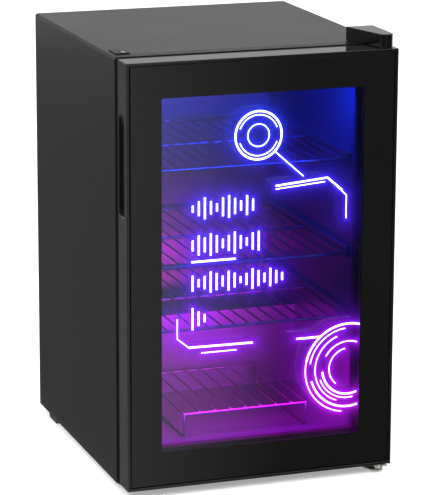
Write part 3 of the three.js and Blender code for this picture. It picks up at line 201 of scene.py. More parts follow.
# Natural nylon: off-white and waxy.
nylon = surface("natural_nylon", "e6e2d8", "dbd6ca", 10, (0.4, 0.5), 0.8, 0.01)
# Red polycarbonate of the rocker: deep and glossy.
red_polycarbonate = surface("red_polycarbonate", "8f1a14", "7b130e", 10, (0.12, 0.2), 1.5, 0.003)
# White pad-printed mark on the knob.
pad_print = surface("white_pad_print", "e8e8e4", "dcdcd6", 3, (0.5, 0.6), 0.3, 0.01)
# Float glass over fired black ceramic ink: dense and deep, with the mirror gloss of the glass.
inked_glass = surface("ink_backed_float_glass", "121110", "0e0e0e", 120, (0.02, 0.05), 180, 0.03)


def galvanised():
    """Hot-dip galvanised sheet: grey zinc in angular spangles, some brighter than others."""
    material, tree, shader = blank("galvanised_sheet", Metallic=1.0)
    place = add(tree, "TexCoord").outputs["Object"]
    width = 6 * MM
    spangle = add(tree, "TexVoronoi", {"Vector": place, "Scale": 1 / width, "Randomness": 1.0})
    grey = add(tree, "RGBToBW", {"Color": spangle.outputs["Color"]})
    shades = {"Factor": grey.outputs["Val"], "A": linear("8d918f"), "B": linear("adb1af")}
    colour = add(tree, "Mix", shades, data_type="RGBA")
    tree.links.new(colour.outputs["Result"], shader.inputs["Base Color"])
    dull = add(tree, "MapRange", {"Value": grey.outputs["Val"], "To Min": 0.34, "To Max": 0.5})
    tree.links.new(dull.outputs["Result"], shader.inputs["Roughness"])
    return material


def float_glass(name, tint):
    """Tempered float glass: clear, faintly tinted, with the slow waviness that tempering leaves."""
    material, tree, shader = blank(
        name, Roughness=0.0, IOR=1.5, Transmission_Weight=1.0, Base_Color=linear(tint)
    )
    wave = noise(tree, add(tree, "TexCoord").outputs["Object"], 180, 1.0)
    raised(tree, shader, wave, 0.05)
    return material


def lit_acrylic():
    """Laser-dotted acrylic: clear, with a bloom of scattered light round the engraved lines.

    The bloom's colour and its share of the surface are kept on the panel's corners.
    """
    material, tree, shader = blank(
        "edge_lit_acrylic",
        Roughness=0.2,
        Base_Color=linear("050508"),
        Specular_IOR_Level=0.0,
        Emission_Strength=1.6,
    )
    bloom = add(tree, "VertexColor", layer_name="bloom")
    tree.links.new(bloom.outputs["Color"], shader.inputs["Emission Color"])
    tree.links.new(bloom.outputs["Alpha"], shader.inputs["Alpha"])
    return material


def lit_engraving():
    """Engraved lines that throw the strips' light out, tinted by the nearer strip."""
    material, tree, shader = blank(
        "lit_engraving", Roughness=0.6, Base_Color=linear("101014"), Emission_Strength=5.0
    )
    height = add(tree, "SeparateXYZ", {"Vector": add(tree, "TexCoord").outputs["Object"]})
    low, high = WINDOW_Z
    share = add(tree, "MapRange", {"Value": height.outputs["Z"], "From Min": low, "From Max": high})
    tint = add(tree, "ValToRGB", {"Fac": share.outputs["Result"]})
    for stop, colour in zip(tint.color_ramp.elements, ("f5a6ff", "c3d0ff")):
        stop.color = linear(colour)
    middle = tint.color_ramp.elements.new(0.5)
    middle.color = linear("d9ccff")
    tree.links.new(tint.outputs["Color"], shader.inputs["Emission Color"])
    return material


# ---- Ways of making a piece ----


def linked(name, mesh):
    piece = bpy.data.objects.new(name, mesh)
    scene.collection.objects.link(piece)
    return piece


def piece_of(name, work, crease=40):
    """A piece from a bmesh, shaded smooth except at creases sharper than an angle in degrees."""
    bmesh.ops.recalc_face_normals(work, faces=work.faces)
    for face in work.faces:
        face.smooth = True
    for edge in work.edges:
        edge.smooth = len(edge.link_faces) == 2 and edge.calc_face_angle(0) < math.radians(crease)
    mesh = bpy.data.meshes.new(name)
    work.to_mesh(mesh)
    work.free()
    return linked(name, mesh)


def shown_mesh(piece):
    """A new mesh of what a piece looks like with its modifiers or its bevel."""
    bpy.context.view_layer.update()
    shown = piece.evaluated_get(bpy.context.evaluated_depsgraph_get())
    return bpy.data.meshes.new_from_object(shown)


def worked_in(piece):
    """Works a piece's modifiers into its mesh."""
    made = shown_mesh(piece)
    piece.modifiers.clear()
    piece.data = made
    return piece


def flattened(piece):
    """Works a piece's modifiers in, and shades its flat faces flat."""
    piece.modifiers.new("flat faces", "WEIGHTED_NORMAL").weight = 100
    return worked_in(piece)


def eased(piece, radius, segments=2, angle=35):
    """Rounds a piece's edges to a radius in millimetres, and keeps its flat faces flat."""
    work = bmesh.new()
    work.from_mesh(piece.data)
    bmesh.ops.remove_doubles(work, verts=work.verts, dist=1e-6)
    bmesh.ops.dissolve_limit(work, angle_limit=math.radians(1), verts=work.verts, edges=work.edges)
    for item in (*work.faces, *work.edges):
        item.smooth = True
    work.to_mesh(piece.data)
    work.free()
    bevel = piece.modifiers.new("rounded edges", "BEVEL")
    bevel.width = radius * MM
    bevel.segments = segments
    bevel.limit_method = "ANGLE"
    bevel.angle_limit = math.radians(angle)
    bevel.use_clamp_overlap = False
    return flattened(piece)


def softened(node, name, radius, segments=2):
    """A copy of a CAD solid with its edges rounded."""
    return eased(linked(name, nodes[node].data.copy()), radius, segments)


def dressed(piece, material, *stands_for):
    """Gives a piece its material and the body of the first node it stands for, and hides the solids
    it stands for.
    """
    piece.data.materials.clear()
    piece.data.materials.append(material)
    for polygon in piece.data.polygons:
        polygon.material_index = 0
    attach(piece, nodes[stands_for[0]]["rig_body"])
    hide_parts(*stands_for)
    return piece


def stand_in(node, name, material, radius, segments=2):
    """A CAD solid's stand-in: its own shape with rounded edges, in its real finish."""
    return dressed(softened(node, name, radius, segments), material, node)


def walled(work, one, two):
    """Faces between two rings with as many corners."""
    for k in range(len(one)):
        n = (k + 1) % len(one)
        work.faces.new((one[k], one[n], two[n], two[k]))


def prism(name, outline, low, high, across="Z"):
    """An outline drawn out between two places on an axis.

    X takes an outline in (y, z), Y one in (z, x), and Z one in (x, y).
    """
    order = {"X": (2, 0, 1), "Y": (1, 2, 0), "Z": (0, 1, 2)}[across]
    work = bmesh.new()
    rings = []
    for at in (low, high):
        corners = [[(a, b, at)[k] for k in order] for a, b in outline]
        rings.append([work.verts.new(corner) for corner in corners])
    work.faces.new(rings[0][::-1])
    work.faces.new(rings[1])
    walled(work, *rings)
    return piece_of(name, work)


def rectangle(low, high):
    (a0, b0), (a1, b1) = low, high
    return [(a0, b0), (a1, b0), (a1, b1), (a0, b1)]


def rounded(low, high, radius, steps=8):
    """The outline of a rectangle between two corners, with rounded corners."""
    (a0, b0), (a1, b1) = low, high
    centres = rectangle((a0 + radius, b0 + radius), (a1 - radius, b1 - radius))
    points = []
    for corner, (a, b) in enumerate(centres):
        for step in range(steps + 1):
            angle = math.pi + (corner + step / steps) * math.pi / 2
            points.append((a + radius * math.cos(angle), b + radius * math.sin(angle)))
    return points


def circle(centre, radius, sides=48):
    angles = [k * 2 * math.pi / sides for k in range(sides)]
    return [(centre[0] + radius * math.cos(a), centre[1] + radius * math.sin(a)) for a in angles]


def combined(piece, others, operation):
    """Joins other solids to a piece, or cuts them out of it, and removes them."""
    for other in others:
        step = piece.modifiers.new(operation.lower(), "BOOLEAN")
        step.operation = operation
        step.solver = "EXACT"
        step.object = other
        worked_in(piece)
        bpy.data.objects.remove(other)
    return piece


def turned(name, profile, centre, axis=UP, sides=64, reach=None):
    """A solid turned from (radius, place along the axis) points.

    They start and end on the axis, or make a closed ring. reach gives each side its share of
    the radius, for flutes and notches.
    """
    turn = axis.to_track_quat("Z", "Y").to_matrix()
    work = bmesh.new()
    rings = []
    for radius, along in profile:
        if radius == 0:
            rings.append([work.verts.new(turn @ Vector((0, 0, along)) + centre)])
            continue
        ring = []
        for k in range(sides):
            angle = 2 * math.pi * k / sides
            r = radius * (reach(angle, radius) if reach else 1)
            point = Vector((r * math.cos(angle), r * math.sin(angle), along))
            ring.append(work.verts.new(turn @ point + centre))
        rings.append(ring)
    closed = profile[0][0] > 0
    pairs = list(zip(rings, rings[1:] + rings[:1])) if closed else list(zip(rings, rings[1:]))
    for one, two in pairs:
        for k in range(sides):
            n = (k + 1) % sides
            corners = [one[k % len(one)], one[n % len(one)], two[n % len(two)], two[k % len(two)]]
            work.faces.new(list(dict.fromkeys(corners)))
    return piece_of(name, work)


def bent(route, bend, steps=8):
    """The points of a route whose corners are bent to a radius."""
    corners = [Vector(point) for point in route]
    points = [corners[0]]
    for before, corner, after in zip(corners, corners[1:], corners[2:]):
        back = (before - corner).normalized()
        on = (after - corner).normalized()
        half = back.angle(on) / 2
        reach = bend / math.tan(half)
        centre = corner + (back + on).normalized() * (bend / math.sin(half))
        start = corner + back * reach - centre
        end = corner + on * reach - centre
        sweep = start.angle(end)
        for step in range(steps + 1):
            share = step / steps
            out = start * math.sin((1 - share) * sweep) + end * math.sin(share * sweep)
            points.append(centre + out / math.sin(sweep))
    points.append(corners[-1])
    return points


def tubes(name, routes, resolution=3):
    """Round wires or tubes in one piece, each given as (points, radius), with closed ends."""
    curve = bpy.data.curves.new(name, "CURVE")
    curve.dimensions = "3D"
    curve.bevel_depth = 1.0
    curve.bevel_resolution = resolution
    curve.use_fill_caps = True
    for points, radius in routes:
        spline = curve.splines.new("POLY")
        spline.points.add(len(points) - 1)
        for slot, point in zip(spline.points, points):
            slot.co = (*point, 1.0)
            slot.radius = radius
        spline.use_smooth = True
    drawn = linked(name + "_route", curve)
    mesh = shown_mesh(drawn)
    bpy.data.objects.remove(drawn)
    work = bmesh.new()
    work.from_mesh(mesh)
    bmesh.ops.remove_doubles(work, verts=work.verts, dist=1e-7)
    return piece_of(name, work, 60)


def framed(name, profile, low, high):
    """A closed section swept round a rectangle in the XZ plane, mitred at its corners.

    The section's points are (how far in from the rectangle, y).
    """
    work = bmesh.new()
    rings = []
    for x, z, inward_x, inward_z in (
        (low.x, low.z, 1, 1), (high.x, low.z, -1, 1), (high.x, high.z, -1, -1),
        (low.x, high.z, 1, -1),
    ):
        rings.append([work.verts.new((x + inward_x * d, y, z + inward_z * d)) for d, y in profile])
    for one, two in zip(rings, rings[1:] + rings[:1]):
        walled(work, one, two)
    return piece_of(name, work)


def kept(node, material):
    """A CAD solid whose shape is right keeps it, and gets its real finish."""
    mesh = nodes[node].data
    mesh.materials.clear()
    mesh.materials.append(material)


def upright(node):
    """A node's lowest and highest corners, and where its upright axis meets the floor."""
    low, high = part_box(node)
    return low, high, Vector(((low.x + high.x) / 2, (low.y + high.y) / 2, 0))


# ---- Cabinet ----

SHELL_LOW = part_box("outer_shell")[0]
galvanised_sheet = galvanised()

stand_in("outer_shell", "cabinet_wrap", painted_steel, 0.5)
stand_in("front_trim", "top_trim_strip", textured_abs, 0.3)

base = stand_in("base_panel", "base_pan", galvanised_sheet, 0.3)
base.data.materials.append(painted_steel)
for face in base.data.polygons:
    face.material_index = int(face.center.y < SHELL_LOW.y + 3 * MM)  # its front strip is painted


def back_sheet():
    """Flat back with three shallow pressed fields, which leave two upright ribs and a rim.

    It reaches up to the wrap's top sheet, so no foam shows above it.
    """
    low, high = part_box("back_panel")
    high.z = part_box("foam_insulation")[1].z
    rim, rib, depth, corner = 24 * MM, 14 * MM, 0.7 * MM, 9 * MM
    sheet = prism("back_sheet", rectangle(low.xy, high.xy), low.z, high.z)
    width = (high.x - low.x - 2 * rim - 2 * rib) / 3
    fields = []
    for k in range(3):
        left = low.x + rim + k * (width + rib)
        outline = rounded((low.z + rim, left), (high.z - rim, left + width), corner)
        fields.append(prism("field", outline, high.y - depth, high.y + depth, "Y"))
    return eased(combined(sheet, fields, "DIFFERENCE"), 0.25)


dressed(back_sheet(), painted_steel, "back_panel")
stand_in("inner_liner", "cabin_liner", liner_hips, 1.0)
kept("foam_insulation", foam)
kept("evaporator_plate", aluminium)
kept("condenser_coil", copper)
stand_in("hinge_blanking_plug", "blanking_plug", textured_abs, 0.5, 3)


def pan_head_screw(node):
    """Pan-head screw with a cross recess and a shallow thread, under or over its sheet."""
    low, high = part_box(node)
    middle = (low + high) / 2
    head = 2.0 * MM
    radius = (high.x - low.x) / 2
    points_up = node.startswith("lower")
    seat = Vector((middle.x, middle.y, low.z + head if points_up else high.z - head))
    axis = -UP if points_up else UP
    shank, pitch, length = 2.0 * MM, 0.8 * MM, 10 * MM
    thread = []
    place = -length + 1.2 * MM
    while place < -pitch:
        thread += [(shank - 0.35 * MM, place), (shank, place + pitch / 2)]
        place += pitch
    quarter = np.linspace(0, math.pi / 2, 9)[:-1]
    crown = [(radius * math.cos(a), head * (0.35 + 0.65 * math.sin(a))) for a in quarter]
    profile = [(0, -length), *thread, (shank, 0), (radius, 0), *crown, (0, head)]
    body = turned(node + "_body", profile, seat, axis, 32)
    arm, blade, depth = 2.4 * MM, 0.5 * MM, 1.1 * MM
    top = seat.z + axis.z * head
    span = sorted((top - axis.z * depth, top + axis.z * depth))
    slots = []
    for a, b in ((arm, blade), (blade, arm)):
        outline = rectangle((seat.x - a, seat.y - b), (seat.x + a, seat.y + b))
        slots.append(prism("recess", outline, *span))
    screw = combined(body, slots, "DIFFERENCE")
    screw.name = node.replace("screw", "pan_head_screw")
    return screw


for screw_node in (
    "blanking_plug_screw", "top_hinge_screw_1", "top_hinge_screw_2", "lower_hinge_screw_1",
    "lower_hinge_screw_2",
):
    dressed(pan_head_screw(screw_node), zinc_plate, screw_node)


def nose_outline(left, back, radius, spread=0.0, steps=16):
    """A plate seen from above: square at the back, slanting in on the left to a round nose.

    The nose goes round the pin, and a spread one has a flat front between its two rounds.
    """
    corner = Vector((left - PIN.x, back - PIN.y))
    tangent = math.atan2(corner.y, corner.x) % (2 * math.pi) + math.acos(radius / corner.length)
    front = 1.5 * math.pi
    nose = []
    for x, start, end in ((PIN.x, tangent, front), (PIN.x + spread, front, 2 * math.pi)):
        for step in range(steps + 1):
            angle = start + (step / steps) * (end - start)
            nose.append((x + radius * math.cos(angle), PIN.y + radius * math.sin(angle)))
    if spread == 0:
        nose.pop(steps)
    return [(left, back), *nose, (PIN.x + spread + radius, back)]


def hinge_cap():
    """Hollow cap over the top hinge, with a softly rounded rim round its flat top."""
    low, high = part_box("hinge_cover")
    wall = 1.8 * MM
    radius = PIN.y - low.y
    spread = high.x - PIN.x - radius
    cap = prism("hinge_cap", nose_outline(low.x, high.y, radius, spread), low.z, high.z)
    inside = nose_outline(low.x + 1.4 * wall, high.y - wall, radius - wall, spread)
    hollow = prism("hollow", inside, low.z - wall, high.z - wall)
    return eased(combined(cap, [hollow], "DIFFERENCE"), 0.6, 3)


dressed(hinge_cap(), glossy_abs, "hinge_cover")


def top_hinge():
    """Plate on the cabinet's top with its pin pointing down into the door."""
    low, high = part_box("top_hinge_plate")
    thickness = 2.5 * MM
    radius = high.x - PIN.x
    plate = prism("top_hinge", nose_outline(low.x, high.y, radius), high.z - thickness, high.z)
    through = (high.z - 2 * thickness, high.z + thickness)
    holes = []
    for node in ("top_hinge_screw_1", "top_hinge_screw_2"):
        holes.append(prism("hole", circle(upright(node)[2], 2.3 * MM, 24), *through))
    plate = eased(combined(plate, holes, "DIFFERENCE"), 0.3)
    chamfer = 0.8 * MM
    profile = [
        (0, low.z), (PIN_RADIUS - chamfer, low.z), (PIN_RADIUS, low.z + chamfer),
        (PIN_RADIUS, high.z - thickness / 2), (0, high.z - thickness / 2),
    ]
    return combined(plate, [turned("pin", profile, PIN, UP, 48)], "UNION")


dressed(top_hinge(), zinc_plate, "top_hinge_plate")


def lower_hinge():
    """Bracket bent from thick plate: flange under the cabinet, drop, tongue with collar and pin.

    A stop screw with its nut lies across the collar's right side.
    """
    low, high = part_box("lower_hinge_bracket")
    plate = 2.5 * MM
    radius = high.x - PIN.x
    front = SHELL_LOW.y
    flange_top = SHELL_LOW.z - 0.3 * MM
    tongue = prism("lower_hinge", nose_outline(low.x, front, radius), low.z, low.z + plate)
    drop = prism("drop", rectangle((low.x, front - plate), (high.x, front)), low.z, flange_top)
    flat = rounded((low.x, front - plate), (high.x, high.y), 2 * MM)
    flange = prism("flange", flat, flange_top - plate, flange_top)
    stud = upright("front_foot_right")[2]
    stud_hole = prism("hole", circle(stud, 4.5 * MM), flange_top - 2 * plate, flange_top + plate)
    bracket = combined(tongue, [drop, flange], "UNION")
    bracket = eased(combined(bracket, [stud_hole], "DIFFERENCE"), 0.35, 3)
    collar_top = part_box("door_frame")[0].z - 0.3 * MM
    chamfer = 0.8 * MM
    collar = PIN_RADIUS + 2.5 * MM
    ease = 0.4 * MM
    profile = [
        (0, low.z + plate / 2), (collar, low.z + plate / 2), (collar, collar_top - ease),
        (collar - ease, collar_top), (PIN_RADIUS, collar_top), (PIN_RADIUS, high.z - chamfer),
        (PIN_RADIUS - chamfer, high.z), (0, high.z),
    ]
    shank, nut, head = 2, 3, 2.9
    screw = [
        (0, 0), (shank, 0), (shank, 3), (nut, 3), (nut, 5.5), (shank, 5.5), (shank, 9.5),
        (head, 9.5), (head, 12.2), (head - 0.5, 12.8), (0, 12.8),
    ]
    screw = [(r * MM, along * MM) for r, along in screw]
    start = Vector((PIN.x + 4.5 * MM, PIN.y, collar_top - 5 * MM))
    stop = turned("stop_screw", screw, start, Vector((1, 0, 0)), 32)
    return combined(bracket, [turned("pin", profile, PIN, UP, 48), stop], "UNION")


dressed(lower_hinge(), zinc_plate, "lower_hinge_bracket")

for side in ("left", "right"):
    stand_in("rear_foot_" + side, "rear_skid_" + side, rubber, 1.0, 3)


def levelling_foot(node, name):
    """Levelling foot: a disc with eight finger notches under a threaded stud."""
    _, high, centre = upright(node)
    disc, stud, thick, edge = 14 * MM, 4 * MM, 6 * MM, 1 * MM
    pitch = 1.25 * MM
    thread = []
    place = thick + pitch
    while place < high.z - pitch:
        thread += [(stud, place), (stud - 0.55 * MM, place + pitch / 2)]
        place += pitch

    def notched(angle, radius):
        if radius < disc - 2 * edge:
            return 1
        dip = max(0.0, math.cos(8 * angle)) ** 3
        return 1 - 1.5 * MM * dip / radius

    profile = [
        (0, 0), (disc - 1.5 * edge, 0), (disc - 0.4 * edge, 0.3 * edge), (disc, edge),
        (disc, thick - edge), (disc - 0.4 * edge, thick - 0.3 * edge), (disc - 1.5 * edge, thick),
        (stud, thick), *thread, (stud - 0.8 * MM, high.z), (0, high.z),
    ]
    return turned(name, profile, centre, UP, 96, notched)


for side in ("left", "right"):
    node_name = "front_foot_" + side
    dressed(levelling_foot(node_name, "levelling_foot_" + side), moulded_abs, node_name)


# ---- Inside the cabin ----

FRAME_WIRE = 2.5 * MM
DECK_WIRE = 1.5 * MM
DECK_PITCH = 22 * MM


def evenly(low, high, pitch):
    """Evenly pitched places centred between two ends."""
    count = 2 * int((high - low) / 2 / pitch) + 1
    middle = (low + high) / 2
    return [middle + (k - (count - 1) / 2) * pitch for k in range(count)]


def wire_shelf(node, name):
    """Shelf of bent frame wire, two cross rails and a deck of thin wires welded on top."""
    low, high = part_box(node)
    r = FRAME_WIRE
    left, right, front, back = low.x + r, high.x - r, low.y + r, high.y - r
    z = low.z + r
    corners = [(left, back, z), (left, front, z), (right, front, z), (right, back, z)]
    routes = [(bent(corners, 10 * MM), r)]
    for y in (back, (front + back) / 2):
        routes.append(([(left, y, z), (right, y, z)], r))
    deck_z = high.z - DECK_WIRE
    for x in evenly(left + 13 * MM, right - 13 * MM, DECK_PITCH):
        routes.append(([(x, front - MM, deck_z), (x, back + MM, deck_z)], DECK_WIRE))
    return tubes(name, routes)


for level in ("lower", "middle", "upper"):
    dressed(wire_shelf("shelf_" + level, level + "_wire_shelf"), coated_wire, "shelf_" + level)


def wire_rack():
    """Low rack that stands on the cabin's floor: two bent leg loops, two rails and a deck."""
    low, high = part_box("bottom_rack")
    r = 2 * MM
    left, right, front, back = low.x + r, high.x - r, low.y + r, high.y - r
    deck_z = high.z - DECK_WIRE
    floor_z, top_z = low.z + r, deck_z - r - DECK_WIRE + 0.8 * MM
    routes = []
    for x in (left, right):
        loop = [(x, front, top_z), (x, front, floor_z), (x, back, floor_z), (x, back, top_z)]
        routes.append((bent(loop, 6 * MM), r))
        routes.append(([(x, front - MM, top_z), (x, back + MM, top_z)], r))
    for y in (front, back):
        routes.append(([(left, y, top_z), (right, y, top_z)], r))
    for x in evenly(left + 5 * MM, right - 5 * MM, 25 * MM):
        routes.append(([(x, front - MM, deck_z), (x, back + MM, deck_z)], DECK_WIRE))
    return tubes("bottom_wire_rack", routes)


dressed(wire_rack(), coated_wire, "bottom_rack")
stand_in("control_housing", "control_box", moulded_abs, 0.8, 3)
kept("thermostat_body", zinc_plate)
kept("lamp_board", white_board)


def ribbed_lens():
    """Lamp lens with rounded ribs along its underside, which spread the light."""
    low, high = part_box("lamp_lens")
    ribs, depth, steps = 14, 0.8 * MM, 6
    outline = [(low.y, high.z), (low.y, low.z + depth)]
    width = (high.y - low.y) / ribs
    for k in range(ribs):
        for step in range(1, steps + 1):
            share = step / steps
            rise = depth * (1 - math.sin(share * math.pi))
            outline.append((low.y + (k + share) * width, low.z + rise))
    outline.append((high.y, high.z))
    return prism("ribbed_lens", outline, low.x, high.x, "X")


dressed(ribbed_lens(), opal, "lamp_lens")


KNOB_LOW, KNOB_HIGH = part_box("thermostat_knob")
KNOB_JOINT = next(joint for joint in frame["joints"] if joint["name"] == "thermostat_turn")
KNOB_CENTRE = Vector(KNOB_JOINT["pos_m"])


def upright_bar(start, end, half, corner):
    """Outline in (z, x) of a bar over the knob's centre, with its lengths in millimetres."""
    x, z = KNOB_CENTRE.x, KNOB_CENTRE.z
    return rounded((z + start * MM, x - half * MM), (z + end * MM, x + half * MM), corner * MM)


def dial_knob():
    """Thermostat knob: fluted skirt, domed face and a raised pointer."""
    radius, stem, foot, flutes = 12 * MM, 3.5 * MM, 0.3 * MM, 24
    face = KNOB_CENTRE.y - (KNOB_LOW.y + 1.5 * MM)
    shaft_end = KNOB_CENTRE.y - KNOB_HIGH.y

    def fluted(angle, r):
        if r <= radius - 0.6 * MM:
            return 1
        return 1 - 0.5 * MM * (0.5 + 0.5 * math.cos(flutes * angle)) / r

    profile = [
        (0, face), (0.55 * radius, face - 0.1 * MM), (0.8 * radius, face - 0.7 * MM),
        (radius - MM, face - 1.6 * MM), (radius - 0.4 * MM, face - 2.6 * MM), (radius, foot + MM),
        (radius, foot), (stem, foot), (stem, shaft_end), (0, shaft_end),
    ]
    knob = turned("dial_knob", profile, KNOB_CENTRE, Vector((0, -1, 0)), 144, fluted)
    bar = upright_bar(1.5, 10.5, 1.5, 1.2)
    pointer = eased(prism("pointer", bar, KNOB_LOW.y, KNOB_LOW.y + 3 * MM, "Y"), 0.3)
    return combined(knob, [pointer], "UNION")


dressed(dial_knob(), moulded_abs, "thermostat_knob")
# White printed line along the knob's pointer.
line = upright_bar(3, 9.5, 0.5, 0.45)
mark = prism("knob_pointer_mark", line, KNOB_LOW.y - 0.02 * MM, KNOB_LOW.y + 0.1 * MM, "Y")
mark.data.materials.append(pad_print)
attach(mark, "knob")
stand_in("light_switch", "rocker_key", red_polycarbonate, 0.6, 3)


# ---- Refrigeration bay ----

stand_in("compressor_rail", "rail_sheet", galvanised_sheet, 0.4)


def lead_gland():
    """Rubber gland with a flange on each side of the rail's lip and a tapered, ribbed tail."""
    low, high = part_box("mains_lead_gland")
    centre = Vector(((low.x + high.x) / 2, 0, (low.z + high.z) / 2))
    lip_front, lip_back = 236.7 * MM, 239.3 * MM  # the groove that the rail's lip sits in
    flange_front = lip_front - 2.5 * MM
    sleeve, flange, bore = 6 * MM, 9 * MM, 4 * MM
    soft = 0.5 * MM
    waist = sleeve - 0.9 * MM
    tail = []
    for k in range(3):
        start = low.y + (1 + 2.6 * k) * MM
        rib = ((waist, 0), (sleeve, 0.6), (sleeve, 1.5), (waist, 2))
        tail += [(r, start + along * MM) for r, along in rib]
    profile = [
        (bore, low.y), (sleeve - MM, low.y), *tail, (sleeve, flange_front),
        (flange - soft, flange_front), (flange, flange_front + soft), (flange, lip_front),
        (sleeve, lip_front), (sleeve, lip_back), (flange, lip_back), (flange, high.y - soft),
        (flange - soft, high.y), (bore, high.y),
    ]
    return turned("lead_gland", profile, centre, Vector((0, 1, 0)), 48)


dressed(lead_gland(), rubber, "mains_lead_gland")


def grommet(number):
    """Waisted rubber grommet under the compressor's saddle."""
    node = f"compressor_grommet_{number}"
    low, high, centre = upright(node)
    radius, height, waist = (high.y - low.y) / 2, high.z - low.z, 2 * MM
    profile = [(0, 0), (0.9 * radius, 0)]
    for share in np.linspace(0.08, 0.92, 15):
        dip = waist * math.exp(-(((share - 0.5) / 0.12) ** 2))
        profile.append((radius - dip, share * height))
    profile += [(0.9 * radius, height), (0, height)]
    foot = centre + low.z * UP
    dressed(turned(f"saddle_grommet_{number}", profile, foot, UP, 48), rubber, node)


for grommet_number in range(1, 5):
    grommet(grommet_number)


def compressor_pod():
    """Deep-drawn steel pod in two halves with a welded seam, on its saddle plate."""
    low, high, centre = upright("compressor")
    saddle, radius, seam, stretch = 3 * MM, 54 * MM, 3 * MM, 1.28
    foot, height = low.z + 2 * MM, high.z - low.z - 2 * MM

    def dome(start, end, apex, depth):
        angles = np.linspace(start, end, 13)
        return [(radius * math.sin(a) ** 0.55, apex + depth * (1 - math.cos(a))) for a in angles]

    ring = (
        (0, 0.43), (0.8 * seam, 0.44), (seam, 0.445), (seam, 0.475), (0.8 * seam, 0.48), (0, 0.49)
    )
    profile = [
        (0, foot),
        *dome(0, math.pi / 2, foot, 0.26 * height)[1:],
        *[(radius + out, foot + share * height) for out, share in ring],
        *dome(math.pi / 2, 0, high.z, -0.3 * height)[:-1],
        (0, high.z),
    ]
    pod = turned("compressor_pod", profile, Vector((0, 0, 0)), UP, 96)
    pod.data.transform(Matrix.Translation(centre) @ Matrix.Diagonal((stretch, 1, 1, 1)))
    plate = prism("saddle", rounded(low.xy, high.xy, 12 * MM), low.z, low.z + saddle)
    return combined(pod, [eased(plate, 0.5)], "UNION")


dressed(compressor_pod(), pod_enamel, "compressor")
stand_in("relay_cover", "terminal_cover", moulded_abs, 3.0, 5)
stand_in("drain_tray", "evaporation_tray", moulded_abs, 0.6)


def drain_pipe():
    low, high, centre = upright("drain_tube")
    outer, inner, soft = 6 * MM, 4.5 * MM, 0.3 * MM
    profile = [
        (inner, low.z + soft), (inner + soft, low.z), (outer - soft, low.z), (outer, low.z + soft),
        (outer, high.z), (inner, high.z),
    ]
    return turned("drain_pipe", profile, centre, UP, 48)


dressed(drain_pipe(), moulded_abs, "drain_tube")


def riser(node, name, bend):
    """Copper tube from the pod's side, back along the bay and up into the wall."""
    low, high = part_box(node)
    r = 3 * MM
    x, z = low.x + r, low.z + r
    route = [(high.x, low.y + r, z), (x, low.y + r, z), (x, high.y - r, z), (x, high.y - r, high.z)]
    return dressed(tubes(name, [(bent(route, bend * MM), r)], 5), copper, node)


riser("discharge_tube", "discharge_line", 10)
riser("suction_tube", "suction_line", 8)


def dryer_can():
    """Filter dryer: a copper can swaged down at both ends, with rolled shoulders."""
    low, high, centre = upright("filter_dryer")
    can, tube, tip = (high.x - low.x) / 2, 3 * MM, 2 * MM
    shoulder_top = SHELL_LOW.z + 110 * MM
    neck, shoulder = 9 * MM, 10 * MM
    profile = [(0, low.z), (tip, low.z), (tip, low.z + MM)]
    for share in np.linspace(0, 1, 9):
        swell = math.sin(share * math.pi / 2)
        profile.append((tip + (can - tip) * swell, low.z + MM + share * neck))
    for share in np.linspace(0, 1, 9):
        swell = math.cos(share * math.pi / 2)
        profile.append((tube + (can - tube) * swell, shoulder_top - (1 - share) * shoulder))
    profile += [(tube, high.z), (0, high.z)]
    return turned("dryer_can", profile, centre, UP, 48)


dressed(dryer_can(), copper, "filter_dryer")


def capillary():
    low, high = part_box("capillary_tube")
    can_low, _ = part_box("filter_dryer")
    r = 1.5 * MM
    dryer, wall = (low.x + r, high.y - r), (high.x - r, low.y + r)
    z = low.z + r
    route = [(*dryer, can_low.z - 0.3 * MM), (*dryer, z), (*wall, z), (*wall, high.z)]
    return tubes("capillary_line", [(bent(route, 8 * MM), r)], 4)


dressed(capillary(), copper, "capillary_tube")


# ---- Door ----

DOOR_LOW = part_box("door_frame")[0]
GLASS_LOW, GLASS_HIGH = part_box("front_glass")
PANEL_LOW, PANEL_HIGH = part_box("light_panel")
PACK_LOW, PACK_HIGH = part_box("inner_glass")
GLAZING_OVERLAP = 15.5 * MM
WINDOW_X = (PACK_LOW.x + GLAZING_OVERLAP, PACK_HIGH.x - GLAZING_OVERLAP)
WINDOW_Z = (PACK_LOW.z + GLAZING_OVERLAP, PACK_HIGH.z - GLAZING_OVERLAP)


def door_moulding():
    """Door frame with softened edges and a fine shadow groove round the finger grip."""
    grip_low, grip_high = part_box("grip_insert")
    wide, narrow, deep = 2.2 * MM, 1.0 * MM, 1.4 * MM
    low = (grip_low.y - wide, grip_low.z - wide)
    high = (grip_high.y + narrow, grip_high.z + wide)
    corner = min(grip_high.y - grip_low.y, grip_high.z - grip_low.z) / 2.2
    groove = prism("groove", rounded(low, high, corner), DOOR_LOW.x - deep, DOOR_LOW.x + deep, "X")
    moulding = softened("door_frame", "door_moulding", 0.9, 3)
    return flattened(combined(moulding, [groove], "DIFFERENCE"))


dressed(door_moulding(), polished_abs, "door_frame")
stand_in("door_back_frame", "door_back_moulding", textured_abs, 1.0, 3)
stand_in("grip_insert", "grip_moulding", textured_abs, 0.45, 3)
stand_in("inner_glass", "inner_pane", float_glass("low_iron_glass", "fbfdff"), 0.5)
stand_in("glazing_spacer", "spacer_bar", anodised_black, 0.8, 3)
kept("hinge_bush_bottom", nylon)
kept("hinge_bush_top", nylon)


